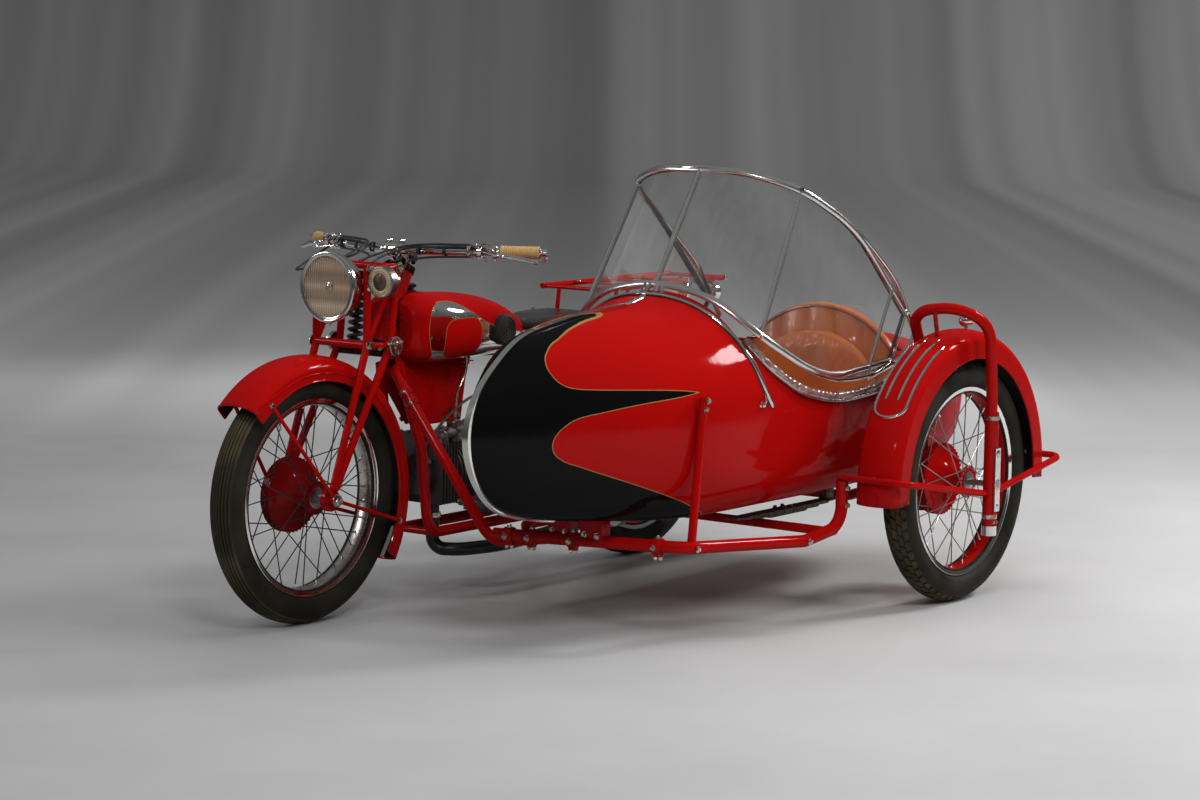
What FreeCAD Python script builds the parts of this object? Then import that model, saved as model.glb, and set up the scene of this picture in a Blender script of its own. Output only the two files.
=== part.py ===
import FreeCAD, Part
import math
import os

V = FreeCAD.Vector

# Sidecar motorcycle. Millimetres, +X forward, +Y to the left (the sidecar side), +Z up.
# Everything is drawn from the ground point under the rear axle and moved to the
# middle of the outfit's footprint when it is written.

# Driving dimensions of the running gear
wheelbase = 1428.0
track = 1107.0
wheel_lead = 50.0
tyre_radius = 327.0
tyre_width = 90.0
rim_radius = 256.0
rim_width = 62.0
rim_wall = 3.0
rim_well = 18.0
seat_gap = 0.3
spoke_radius = 1.6
spoke_count = 36
hub_radius = 30.0
hub_width = 84.0
hub_flange_radius = 44.0
hub_flange_wall = 5.0
axle_radius = 8.0
axle_gap = 0.4
drum_radius = 97.0
drum_width = 30.0
sprocket_radius = 88.0
sprocket_wall = 5.0

# Steering geometry
rake = math.radians(27.0)
steer_ground_x = 1493.0
head_low = 700.0
head_high = 880.0
head_radius = 27.0
fork_half = 86.0
fork_tube = 10.0
steer_gap = 6.0
stem_radius = 11.0
bearing_gap = 0.7
yoke_wall = 16.0
top_bar_height = 904.0
brace_top = V(1128, 66, 598)
brace_low = V(1110, 360, 207)

# Frame
frame_tube = 14.0
stay_tube = 11.0
cradle_half = 60.0
cradle_front = 1005.0
rack_half = 100.0
strap_places = (160.0, 20.0)
strap_hole_side = 60.0
strap_hole_radius = 3.3
rail_half = 98.0
rail_height = 185.0
plate_wall = 4.0

# Mudguards
guard_wall = 2.0
guard_half = 66.0
front_guard_radius = 372.0
front_guard_drop = 62.0
rear_guard_radius = 368.0
side_guard_radius = 405.0
side_guard_drop = 75.0

# Handlebar
bar_radius = 11.0
bar_half = 385.0
bar_height = 946.0
grip_length = 100.0
grip_radius = 16.5

# Engine
crank_x = 660.0
crank_height = 335.0
case_radius = 118.0
case_half = 78.0
chest_depth = 14.0
tappet_ring = 88.0
kick_side = 124.0
barrel_radius = 58.0
fin_radius = 86.0
fin_wall = 4.0
fin_pitch = 13.0
barrel_length = 120.0
head_length = 88.0
flywheel_radius = 130.0
flywheel_wall = 34.0

# Tank and saddle
tank_front = 1096.0
tank_rear = 612.0
tank_half = 132.0
tank_top = 824.0
saddle_height = 722.0

# Sidecar body
body_centre = 630.0
body_half = 312.0
body_nose = 1559.0
body_tail = -560.0
body_wall = 3.0
body_top = 815.0
body_bottom = 285.0
sill_height = 555.0
glass_wall = 4.0
screen_tube = 7.0

screen_foot = 770.0
seat_back_x = -40.0
roll_radius = 13.0

# Chain line
chain_side = hub_width / 2 + 18.0
chain_width = 10.0
chain_pins = 88
gear_x = 470.0
gear_radius = 36.0
gearbox_half = 47.0
pipe_side = 148.0
pipe_low = 134.0
pipe_radius = 18.0
magneto_radius = 44.0
tunnel_top = 700.0

# Sidecar chassis
chassis_tube = 16.0
chassis_height = 240.0
riser_side = 931.0
stay_height = 372.0
post_angle = math.radians(76.0)
stay_radius = 9.0
strut_radius = 15.0
strut_inner = 102.0
strut_outer = 108.0
sleeve_radius = 19.0
seat_height = 365.0
seat_back_top = 778.0
seat_back_wall = 70.0

steer_dir = V(-math.sin(rake), 0, math.cos(rake))
steer_ahead = V(math.cos(rake), 0, math.sin(rake))


def steer_point(height, along=0.0):
    """The steering axis at a height, or a point that far in front of it, square to it."""
    x = steer_ground_x - height * math.tan(rake)
    return V(x + along * math.cos(rake), 0, height + along * math.sin(rake))


front_axle_at = V(wheelbase, 0, tyre_radius)
rear_axle_at = V(0, 0, tyre_radius)
side_axle_at = V(wheel_lead, track, tyre_radius)

nodes = {}


def add(name, shape):
    """Keep one named piece."""
    nodes[name] = shape


def rod(a, b, radius):
    """A round bar from a to b."""
    return Part.makeCylinder(radius, (b - a).Length, a, b - a)


def bore(shape, a, b, radius):
    """The shape with a round hole from a to b."""
    return shape.cut(rod(a, b, radius))


def bent_path(points, bend):
    """Straight runs through the points, joined by tangent arcs."""
    edges = []
    start = points[0]
    for i in range(1, len(points) - 1):
        corner = points[i]
        back = (points[i - 1] - corner).normalize()
        ahead = (points[i + 1] - corner).normalize()
        half = back.getAngle(ahead) / 2
        reach = bend / math.tan(half)
        inner = corner + (back + ahead).normalize() * (bend / math.sin(half) - bend)
        first = corner + back * reach
        last = corner + ahead * reach
        edges.append(Part.LineSegment(start, first).toShape())
        edges.append(Part.Arc(first, inner, last).toShape())
        start = last
    edges.append(Part.LineSegment(start, points[-1]).toShape())
    return Part.Wire(edges)


def tube(points, radius, bend=60.0):
    """A round tube bent through the points."""
    if len(points) == 2:
        return rod(points[0], points[1], radius)
    path = bent_path(points, bend)
    ring = Part.Wire(Part.makeCircle(radius, points[0], points[1] - points[0]))
    return path.makePipe(Part.Face(ring))


def fuse(shapes):
    """One solid from pieces that meet."""
    whole = shapes[0].multiFuse(shapes[1:])
    return whole.removeSplitter()


def box(low, high):
    """A block between two corners."""
    size = high - low
    return Part.makeBox(size.x, size.y, size.z, low)


def spun(profile, centre, angle=360.0, turn=0.0):
    """A closed profile of (radius, y) points and arcs, spun about the wheel line at centre."""
    edges = []
    for item in profile:
        points = [V(r, y, 0) for r, y in item]
        if len(points) == 2:
            edges.append(Part.LineSegment(points[0], points[1]).toShape())
        else:
            edges.append(Part.Arc(points[0], points[1], points[2]).toShape())
    face = Part.Face(Part.Wire(edges))
    solid = face.revolve(V(0, 0, 0), V(0, -1, 0), angle)
    solid.rotate(V(0, 0, 0), V(0, -1, 0), turn)
    solid.translate(centre)
    return solid


def lines(points):
    """A closed run of straight sides through (radius, y) points."""
    return [(points[i], points[(i + 1) % len(points)]) for i in range(len(points))]


def tyre(centre):
    """A tyre that sits in its rim."""
    bead = rim_width / 2 - rim_wall - seat_gap
    foot = rim_radius - rim_well + seat_gap
    lip = rim_radius + seat_gap + 1.0
    half = tyre_width / 2
    middle = (tyre_radius + rim_radius) / 2 - 6.0
    shoulder = tyre_radius - 16.0
    side_left = ((lip, -bead), (middle, -half), (shoulder, -half * 0.78))
    side_right = ((shoulder, half * 0.78), (middle, half), (lip, bead))
    crown = ((shoulder, -half * 0.78), (tyre_radius, 0), (shoulder, half * 0.78))
    base = [((foot, bead), (foot, -bead)), ((foot, -bead), (lip, -bead))]
    return spun(base + [side_left, crown, side_right, ((lip, bead), (foot, bead))], centre)


def rim(centre):
    """A channel rim with turned-up edges."""
    half = rim_width / 2
    inner = rim_radius - rim_well - rim_wall
    points = [
        (inner, -half + 6.0),
        (rim_radius - 8.0, -half),
        (rim_radius, -half),
        (rim_radius, -half + rim_wall),
        (rim_radius - rim_well, -half + rim_wall),
        (rim_radius - rim_well, half - rim_wall),
        (rim_radius, half - rim_wall),
        (rim_radius, half),
        (rim_radius - 8.0, half),
        (inner, half - 6.0),
    ]
    return spun(lines(points), centre)


def hub(centre):
    """A hub barrel with two spoke flanges and a bore for the axle."""
    half = hub_width / 2
    shelf = half - hub_flange_wall
    hole = axle_radius + axle_gap
    points = [
        (hole, -half),
        (hub_flange_radius, -half),
        (hub_flange_radius, -shelf),
        (hub_radius, -shelf),
        (hub_radius, shelf),
        (hub_flange_radius, shelf),
        (hub_flange_radius, half),
        (hole, half),
    ]
    return spun(lines(points), centre)


def spoke(centre, turn, cross, side):
    """One straight spoke from a hub flange to the rim's well, a four-sided bar."""
    foot = hub_flange_radius - 5.0
    reach = rim_radius - rim_well - rim_wall + 1.5
    start_turn = turn + cross
    y = side * (hub_width / 2 - hub_flange_wall / 2)
    a = V(foot * math.cos(start_turn), y, foot * math.sin(start_turn))
    b = V(reach * math.cos(turn), side * 4.0, reach * math.sin(turn))
    line = (b - a).normalize()
    across = line.cross(V(0, 1, 0)).normalize()
    up = line.cross(across)
    corners = [a + across * spoke_radius, a + up * spoke_radius, a - across * spoke_radius,
               a - up * spoke_radius]
    face = Part.Face(Part.makePolygon(corners + [corners[0]]))
    bar = face.extrude(b - a)
    bar.translate(centre)
    return bar


def spokes(centre):
    """The laced spokes of one wheel."""
    bars = []
    for i in range(spoke_count):
        turn = 2 * math.pi * i / spoke_count
        side = 1 if i % 2 == 0 else -1
        cross = math.radians(62) if (i // 2) % 2 == 0 else -math.radians(62)
        bars.append(spoke(centre, turn, cross, side))
    return bars


def drum(centre, side):
    """A brake drum on one side of the hub."""
    inner = hub_width / 2 - hub_flange_wall
    outer = inner + drum_width
    hole = axle_radius + axle_gap
    points = [
        (hole, side * inner),
        (drum_radius - 6.0, side * inner),
        (drum_radius, side * (inner + 5.0)),
        (drum_radius, side * outer),
        (drum_radius - 5.0, side * outer),
        (drum_radius - 5.0, side * (inner + 9.0)),
        (hole, side * (inner + 9.0)),
    ]
    return spun(lines(points), centre)


def wheel(centre, extras):
    """A wire wheel as one piece: rim, hub, spokes and what is bolted to it."""
    return fuse([rim(centre), hub(centre)] + spokes(centre) + extras)


def sprocket(centre, side, radius, offset):
    """A flat toothed wheel beside the hub."""
    teeth = 34
    tip = radius + 4.0
    points = []
    for i in range(teeth * 2):
        r = tip if i % 2 == 0 else radius - 3.0
        turn = math.pi * i / teeth
        points.append(V(r * math.cos(turn), 0, r * math.sin(turn)))
    face = Part.Face(Part.makePolygon(points + [points[0]]))
    plate = face.extrude(V(0, sprocket_wall, 0))
    plate.translate(centre + V(0, side * offset - sprocket_wall / 2, 0))
    return bore(plate, centre, centre + V(0, side * 200, 0), hub_radius - 4.0)


def guard(centre, radius, half, drop, first, last, crown=14.0):
    """A valanced mudguard: a thin curved section spun about the wheel line."""
    edge = radius - drop
    shoulder = radius - crown
    w = guard_wall
    outer = [
        ((edge, -half), (shoulder - 16.0, -half)),
        ((shoulder - 16.0, -half), (shoulder - 2.0, -half + 8.0), (shoulder + 6.0, -half + 20.0)),
        ((shoulder + 6.0, -half + 20.0), (radius, 0), (shoulder + 6.0, half - 20.0)),
        ((shoulder + 6.0, half - 20.0), (shoulder - 2.0, half - 8.0), (shoulder - 16.0, half)),
        ((shoulder - 16.0, half), (edge, half)),
        ((edge, half), (edge, half - w)),
        ((edge, half - w), (shoulder - 16.0, half - w)),
        ((shoulder - 16.0, half - w), (shoulder - 3.5, half - 9.5),
         (shoulder + 6.0 - w, half - 20.5)),
        ((shoulder + 6.0 - w, half - 20.5), (radius - w, 0), (shoulder + 6.0 - w, -half + 20.5)),
        ((shoulder + 6.0 - w, -half + 20.5), (shoulder - 3.5, -half + 9.5),
         (shoulder - 16.0, -half + w)),
        ((shoulder - 16.0, -half + w), (edge, -half + w)),
        ((edge, -half + w), (edge, -half)),
    ]
    return spun(outer, centre, last - first, first)


def at_angle(centre, radius, degrees, y):
    """A point beside a wheel, at an angle from straight ahead."""
    turn = math.radians(degrees)
    return centre + V(radius * math.cos(turn), y, radius * math.sin(turn))


def make_wheels():
    """Three wheels with their tyres."""
    add("front_tyre", tyre(front_axle_at))
    add("front_wheel", wheel(front_axle_at, [drum(front_axle_at, -1)]))
    add("rear_tyre", tyre(rear_axle_at))
    offset = hub_width / 2 + 18.0
    spacer = spun(lines([
        (axle_radius + axle_gap, hub_width / 2 - 2.0),
        (hub_radius, hub_width / 2 - 2.0),
        (hub_radius, offset + sprocket_wall / 2),
        (axle_radius + axle_gap, offset + sprocket_wall / 2),
    ]), rear_axle_at)
    gear = sprocket(rear_axle_at, 1, sprocket_radius, offset)
    add("rear_wheel", wheel(rear_axle_at, [drum(rear_axle_at, -1), spacer, gear]))
    add("sidecar_tyre", tyre(side_axle_at))
    add("sidecar_wheel", wheel(side_axle_at, [drum(side_axle_at, -1)]))


def ring(a, b, inner, outer):
    """A round collar from a to b."""
    past = (b - a).normalize() * 2.0
    return rod(a, b, outer).cut(rod(a - past, b + past, inner))


def smooth_path(points):
    """Runs joined by arcs as large as they allow, and the points of the line at each corner."""
    edges = []
    marks = [points[0]]
    start = points[0]
    for i in range(1, len(points) - 1):
        corner = points[i]
        back = points[i - 1] - corner
        ahead = points[i + 1] - corner
        reach = 0.45 * min(back.Length, ahead.Length)
        back = back.normalize()
        ahead = ahead.normalize()
        half = back.getAngle(ahead) / 2
        bend = reach * math.tan(half)
        inner = corner + (back + ahead).normalize() * (bend / math.sin(half) - bend)
        first = corner + back * reach
        last = corner + ahead * reach
        edges.append(Part.LineSegment(start, first).toShape())
        edges.append(Part.Arc(first, inner, last).toShape())
        marks.append(inner)
        start = last
    edges.append(Part.LineSegment(start, points[-1]).toShape())
    marks.append(points[-1])
    return Part.Wire(edges), marks


def smooth_tube(points, radius):
    """A tube along a smooth path."""
    path, marks = smooth_path(points)
    disc = Part.Wire(Part.makeCircle(radius, points[0], points[1] - points[0]))
    return path.makePipe(Part.Face(disc))


def make_fork():
    """The girder fork, its links, spring and axle, on the steering head."""
    low_front = V(1287, 0, 710)
    low_rear = V(1196, 0, 702)
    top_front = V(1287, 0, 905)
    top_rear = V(1172, 0, 903)
    spring_foot = V(1236, 0, 703)
    parts = []
    eye_half = V(0, 7, 0)
    for side in (1, -1):
        out = V(0, side * fork_half, 0)
        axle_end = front_axle_at + out + V(-12, 0, 22)
        parts.append(tube([top_front + out, low_front + out, axle_end], fork_tube, 60))
        parts.append(tube([top_rear + out, low_rear + out, axle_end + V(-10, 0, 2)], fork_tube, 60))
        parts.append(rod(top_rear + out, top_front + out, fork_tube))
        parts.append(rod(low_front + out, top_rear + out, fork_tube * 0.8))
        parts.append(rod(low_front + out, low_rear + out, fork_tube * 0.8))
        eye = front_axle_at + out
        parts.append(rod(eye - eye_half, eye + eye_half, 30.0))
    for at, radius in ((low_front, fork_tube), (top_rear, fork_tube), (spring_foot, 7.0)):
        parts.append(rod(at - V(0, fork_half, 0), at + V(0, fork_half, 0), radius))
    girder = fuse(parts)
    reach = V(0, fork_half + 30.0, 0)
    girder = bore(girder, front_axle_at - reach, front_axle_at + reach, axle_radius + seat_gap)
    add("girder_fork", girder)
    add("front_axle", rod(front_axle_at - reach, front_axle_at + reach, axle_radius))

    inner = fork_half - fork_tube - seat_gap
    stem_top = steer_point(head_high + bearing_gap)
    stem_low = steer_point(head_low - bearing_gap)
    yoke_top = rod(stem_top, stem_top + steer_dir * yoke_wall, head_radius + 3.0)
    yoke_low = rod(stem_low, stem_low - steer_dir * yoke_wall, head_radius + 3.0)
    stem = rod(stem_low - steer_dir * 4.0, stem_top + steer_dir * 4.0, stem_radius)
    leg_dir = (front_axle_at + V(-22, 0, 24) - low_rear).normalize()
    link_low = low_rear + leg_dir * 24.0
    link_top = top_rear + (low_rear - top_rear).normalize() * 25.0
    pieces = [yoke_top, yoke_low, stem]
    pieces.append(rod(link_low - V(0, inner, 0), link_low + V(0, inner, 0), 9.0))
    pieces.append(rod(link_top - V(0, inner, 0), link_top + V(0, inner, 0), 8.0))
    low_mid = stem_low - steer_dir * (yoke_wall / 2)
    top_mid = stem_top + steer_dir * (yoke_wall / 2)
    for side in (1, -1):
        out = V(0, side * 16, 0)
        pieces.append(rod(low_mid + out, link_low + out, 7.0))
        corner = top_mid + out + steer_ahead * 42.0
        pieces.append(tube([top_mid + out, corner, link_top + out], 7.0, 12.0))
    coil_top = V(1214, 0, 876)
    coil_dir = (coil_top - spring_foot).normalize()
    coil_low = spring_foot + coil_dir * (7.0 + seat_gap)
    hanger = coil_top + coil_dir * seat_gap
    pieces.append(rod(hanger, hanger + coil_dir * 16, 24.0))
    pieces.append(rod(hanger + coil_dir * 8, link_top + V(0, 0, 6), 6.0))
    knob_foot = stem_top + steer_dir * (yoke_wall - 2.0)
    knob_low = knob_foot + steer_dir * 17.0
    pieces.append(rod(knob_foot, knob_low, 11.0))
    pieces.append(rod(knob_low, knob_low + steer_dir * 11.0, 25.0))
    add("fork_links", fuse(pieces))
    add("fork_spring", rod(coil_low, coil_top, 22.0))


def make_front_guard():
    """The front mudguard with its stays, held on the front axle."""
    centre = front_axle_at + V(10, 0, -8)
    shell = guard(centre, front_guard_radius, guard_half, front_guard_drop, 46.0, 211.0)
    stays = []
    for side in (1, -1):
        y = side * (guard_half - 1.0)
        foot = front_axle_at + V(0, side * (fork_half + 20.0), 0)
        half = V(0, 6, 0)
        stays.append(rod(foot - half, foot + half, 15.0))
        for angle in (55.0, 195.0):
            end = at_angle(centre, front_guard_radius - front_guard_drop + 12.0, angle, y)
            stays.append(rod(foot, end, 5.0))
    whole = fuse([shell] + stays)
    reach = V(0, fork_half + 40.0, 0)
    whole = bore(whole, front_axle_at - reach, front_axle_at + reach, axle_radius + seat_gap)
    add("front_mudguard", whole)


def make_bars():
    """Handlebar with its levers, and the grips."""
    centre = V(1072, 0, bar_height - 6.0)
    tips = bar_half + 12.0
    half_line = [(942, tips, bar_height), (1012, 270, bar_height), (1056, 120, bar_height - 4.0),
                 (1072, 46, bar_height - 6.0)]
    points = [V(x, y, z) for x, y, z in half_line]
    points += [V(x, -y, z) for x, y, z in reversed(half_line)]
    bar = tube(points, bar_radius, 30.0)
    clamp = rod(centre - V(0, 30, 0), centre + V(0, 30, 0), bar_radius + 7.0)
    yoke_face = steer_point(head_high + bearing_gap) + steer_dir * (yoke_wall + seat_gap)
    pieces = [bar, clamp]
    for side in (1, -1):
        out = V(0, side * 22, 0)
        foot = yoke_face + out + steer_ahead * 16.0
        pieces.append(rod(foot, foot + steer_dir * 9.0, 8.0))
        pieces.append(rod(foot + steer_dir * 6.0, centre + out, 6.0))
    grips = []
    for side in (1, -1):
        inner = V(1012, side * 270, bar_height)
        outer = V(942, side * tips, bar_height)
        along = (outer - inner).normalize()
        start = inner + along * 26.0
        grips.append(ring(start, start + along * grip_length, bar_radius + seat_gap, grip_radius))
        root = inner + along * 8.0
        pieces.append(rod(root, root + along * 16.0, bar_radius + 6.0))
        ahead = along.cross(V(0, 0, 1)).normalize()
        if ahead.x < 0:
            ahead = ahead * -1
        first = root + along * 8.0 + ahead * (bar_radius + 4.0)
        second = first + ahead * 26.0 + along * 14.0 + V(0, 0, -8)
        third = second + along * 100.0 + V(0, 0, -14)
        pieces.append(tube([first, second, third], 5.0, 16.0))
    add("handlebar", fuse(pieces))
    add("grips", Part.makeCompound(grips))


def make_lamps():
    """Headlamp shell and lens, and the horn."""
    lens_x = 1344.0
    height = 858.0
    radius = 88.0
    profile = [(lens_x, radius), (lens_x - 14, radius), (lens_x - 40, radius - 6),
               (lens_x - 76, radius - 34), (lens_x - 92, 24), (lens_x - 96, 0)]
    points = [V(x, 0, r) for x, r in profile]
    edges = [Part.LineSegment(points[0], points[1]).toShape()]
    curve = Part.BSplineCurve()
    curve.interpolate(points[1:])
    edges.append(curve.toShape())
    edges.append(Part.LineSegment(points[-1], V(lens_x, 0, 0)).toShape())
    edges.append(Part.LineSegment(V(lens_x, 0, 0), points[0]).toShape())
    shell = Part.Face(Part.Wire(edges)).revolve(V(0, 0, 0), V(1, 0, 0), 360)
    shell.translate(V(0, 0, height))
    ears_x = 1287.0
    reach = fork_half - fork_tube - seat_gap
    ears = rod(V(ears_x, -reach, height), V(ears_x, reach, height), 7.0)
    cup = rod(V(lens_x - 12, 0, height), V(lens_x + 1, 0, height), radius - 5.0)
    bezel = Part.makeTorus(radius - 1.0, 5.0, V(lens_x - 2, 0, height), V(1, 0, 0))
    add("headlamp", fuse([shell, ears, bezel]).cut(cup))
    face = Part.makeCylinder(radius - 5.0 - seat_gap, 8.0, V(lens_x - 11.6, 0, height), V(1, 0, 0))
    add("headlamp_lens", face)
    horn_at = V(1299, 140, 876)
    horn = rod(horn_at - V(24, 0, 0), horn_at, 40.0)
    dish = rod(horn_at - V(5, 0, 0), horn_at + V(9, 0, 0), 33.0)
    dome = rod(horn_at - V(9, 0, 0), horn_at - V(1, 0, 0), 17.0)
    rim_ring = Part.makeTorus(37.0, 4.0, horn_at - V(2, 0, 0), V(1, 0, 0))
    neck = rod(horn_at - V(60, 0, 0), horn_at - V(20, 0, 0), 17.0)
    foot = V(horn_at.x - 40, fork_half + fork_tube + 6 * seat_gap, top_bar_height)
    bracket = rod(foot, V(horn_at.x - 40, horn_at.y, horn_at.z), 6.0)
    add("horn", fuse([horn.cut(dish), dome, rim_ring, neck, bracket]))


def make_frame():
    """The cradle frame with its head, top tube, pressed plates and stays."""
    pieces = [rod(steer_point(head_low), steer_point(head_high), head_radius)]
    spine_front = V(1090, 0, 668)
    spine_rear = V(560, 0, 640)
    pieces.append(rod(spine_front, spine_rear, frame_tube + 2.0))
    brace_dir = (brace_top - brace_low).normalize()
    lug_end = brace_top + brace_dir * seat_gap
    pieces.append(tube([V(1080, 26, 640), brace_top + brace_dir * 36.0, lug_end], 12.0, 16.0))
    for side in (1, -1):
        out = side * 22.0
        outline = [V(1112, out, 724), V(1100, out, 694), V(1094, out, 590), V(1000, out, 470),
                   V(830, out, 470), V(800, out, 640), V(1060, out, 668), V(1096, out, 740)]
        face = Part.Face(Part.makePolygon(outline + [outline[0]]))
        pieces.append(face.extrude(V(0, side * plate_wall, 0)))
        cradle = [V(1096, side * 30.0, 640), V(1035, side * cradle_half, 420),
                  V(cradle_front, side * cradle_half, rail_height),
                  V(600, side * cradle_half, rail_height),
                  V(440, side * rail_half, rail_height),
                  V(0, side * rail_half, tyre_radius)]
        pieces.append(tube(cradle, frame_tube, 60))
        stay = [V(0, side * rail_half, tyre_radius), V(330, side * rail_half, 590),
                V(560, side * 16, 640)]
        pieces.append(tube(stay, stay_tube, 60))
        pieces.append(rod(V(400, side * rail_half, rail_height + 12),
                          V(345, side * rail_half, 592), 10.0))
        pieces.append(rod(V(0, side * (rail_half - 9.0), tyre_radius),
                          V(0, side * (rail_half + 9.0), tyre_radius), 28.0))
    pieces.append(rod(V(980, -cradle_half, rail_height), V(980, cradle_half, rail_height), 10.0))
    pieces.append(rod(V(425, -rail_half, rail_height), V(425, rail_half, rail_height), 10.0))
    pieces.append(rod(V(330, -rail_half, 590), V(330, rail_half, 590), 10.0))
    hanger = V(330, 0, 590)
    inward = (hanger - rear_axle_at).normalize()
    pieces.append(rod(hanger, rear_axle_at + inward * (rear_guard_radius + seat_gap), 8.0))
    for x in (1000.0, 680.0):
        pieces.append(rod(V(x, 0, 650), V(x, 0, tunnel_top - seat_gap), 9.0))
    seat = saddle_shape()
    seat.translate(V(0, 0, -seat_gap))
    pieces.append(below(rod(V(585, 0, 640), V(585, 0, saddle_height - 12.0), 8.0), seat))
    whole = fuse(pieces)
    whole = whole.cut(rod(steer_point(head_low - 40), steer_point(head_high + 40),
                          stem_radius + axle_gap))
    reach = V(0, rail_half + 40.0, 0)
    whole = bore(whole, rear_axle_at - reach, rear_axle_at + reach, axle_radius + seat_gap)
    add("frame", whole)
    add("rear_axle", rod(rear_axle_at - reach, rear_axle_at + reach, axle_radius))


def make_engine():
    """A horizontal single: crankcase, finned barrel and head, flywheel and magneto."""
    crank = V(crank_x, 0, crank_height)
    chamber = rod(crank - V(0, case_half, 0), crank + V(0, case_half, 0), case_radius)
    gearbox = box(V(385, -gearbox_half, crank_height - 92),
                  V(crank_x, gearbox_half, crank_height + 88))
    sump = box(V(530, -case_half + 10, 215), V(crank_x + 60, case_half - 10, crank_height))
    feet = box(V(620, -cradle_half - 14, rail_height + frame_tube + seat_gap),
               V(690, cradle_half + 14, 218))
    gear_at = V(gear_x, chain_side, crank_height)
    pinion = rod(gear_at - V(0, 4, 0), gear_at + V(0, 4, 0), gear_radius)
    shaft = rod(V(gear_x, 0, crank_height), gear_at, 14.0)
    out = V(0, -case_half, 0)
    chest = [rod(crank + out + V(0, 2, 0), crank + out - V(0, chest_depth, 0), 70.0)]
    cam = crank + out + V(-62, 0, 62)
    chest.append(rod(cam + V(0, 20, 0), cam - V(0, chest_depth, 0), 38.0))
    chest.append(rod(crank + out, crank + out - V(0, chest_depth + 7.0, 0), 30.0))
    for turn in range(20, 380, 60):
        at = at_angle(crank + out, 96.0, turn, 0)
        chest.append(rod(at + V(0, 4, 0), at - V(0, 5, 0), 8.0))
    kick = V(440, -gearbox_half, crank_height - 5.0)
    kick_low = V(kick.x, -kick_side, kick.z)
    kick_top = V(400, -kick_side - 4.0, kick.z + 140.0)
    kicker = [rod(kick + V(0, 4, 0), kick_low - V(0, 9, 0), 10.0), rod(kick_low, kick_top, 7.0),
              rod(kick_top + V(0, 8, 0), kick_top - V(0, 52, 0), 9.0)]
    add("crankcase", fuse([chamber, gearbox, sump, feet, pinion, shaft] + chest + kicker))
    face = V(crank_x + case_radius + seat_gap, 0, crank_height)
    barrel = [rod(face, face + V(barrel_length, 0, 0), barrel_radius)]
    for i in range(int(barrel_length / fin_pitch)):
        at = face + V(8.0 + i * fin_pitch, 0, 0)
        barrel.append(rod(at, at + V(fin_wall, 0, 0), fin_radius))
    around_case = rod(crank - V(0, 200, 0), crank + V(0, 200, 0), case_radius + seat_gap)
    for side in (16.0, 52.0):
        rod_at = V(crank_x, -side, crank_height + math.sqrt(tappet_ring ** 2 - side ** 2))
        end = V(face.x + barrel_length, rod_at.y, rod_at.z)
        barrel.append(rod(rod_at, end, 7.0).cut(around_case))
    add("cylinder", fuse(barrel))
    head_face = face + V(barrel_length + seat_gap, 0, 0)
    head = [rod(head_face, head_face + V(head_length, 0, 0), barrel_radius - 4.0)]
    for i in range(int(head_length / fin_pitch)):
        at = head_face + V(6.0 + i * fin_pitch, 0, 0)
        head.append(box(at + V(0, -80, -76), at + V(fin_wall, 80, 84)))
    head.append(box(head_face + V(4, -72, 70), head_face + V(head_length - 14.0, 12, 108)))
    head.append(rod(head_face + V(38, -30, 100), head_face + V(38, -30, 122), 24.0))
    port_x = head_face.x + head_length / 2
    port = V(port_x, 24, crank_height - 40)
    head.append(rod(port, V(port_x, 24, crank_height - 78), 24.0))
    inlet = V(port_x, 56, crank_height + 40)
    head.append(rod(inlet, V(port_x, 56, crank_height + 86), 20.0))
    add("cylinder_head", fuse(head))
    hub_y = case_half + seat_gap
    wheel_y = case_half + 14.0
    disc = rod(crank + V(0, wheel_y, 0), crank + V(0, wheel_y + flywheel_wall, 0), flywheel_radius)
    dish = rod(crank + V(0, wheel_y + 10, 0), crank + V(0, wheel_y + 60, 0), flywheel_radius - 24)
    boss = rod(crank + V(0, hub_y, 0), crank + V(0, wheel_y + 26, 0), 26.0)
    add("flywheel", fuse([disc.cut(dish), boss]))
    back = 60.0
    gap = case_radius + magneto_radius + seat_gap
    height = crank_height + math.sqrt(gap * gap - back * back)
    add("magneto", rod(V(crank_x - back, -50, height), V(crank_x - back, 50, height), magneto_radius))
    start = V(port_x, 24, crank_height - 78 - seat_gap)
    pipe_end = V(300, pipe_side, 166)
    can_dir = V(-490, 0, 34).normalize()
    points = [start, V(port_x, 24, pipe_low), V(port_x - 30, 92, pipe_low),
              V(port_x - 140, pipe_side - 4, pipe_low + 4.0), pipe_end - can_dir * 260.0, pipe_end]
    add("exhaust_pipe", smooth_tube(points, pipe_radius))
    can_start = pipe_end + can_dir * seat_gap
    can_end = pipe_end + can_dir * 491.0
    rail_a = V(440, rail_half, rail_height)
    rail_b = V(0, rail_half, tyre_radius)
    rail_dir = (rail_b - rail_a).normalize()
    grip = rail_a + rail_dir * 250.0
    collar = rod(grip - rail_dir * 10, grip + rail_dir * 10, frame_tube + 6.0)
    hanger = rod(grip, V(grip.x, pipe_side, 190), 6.0)
    can = fuse([rod(can_start, can_end, 38.0), collar, hanger])
    add("silencer", can.cut(rod(rail_a, rail_b, frame_tube + seat_gap)))
    carb_foot = V(port_x, 56, crank_height + 86 + seat_gap)
    carb = [rod(carb_foot, carb_foot + V(0, 0, 34), 17.0),
            rod(carb_foot + V(14, 0, 24), carb_foot + V(-70, 0, 24), 18.0),
            rod(carb_foot + V(-50, 0, 2), carb_foot + V(-50, 0, 52), 21.0)]
    add("carburettor", fuse(carb))


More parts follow.
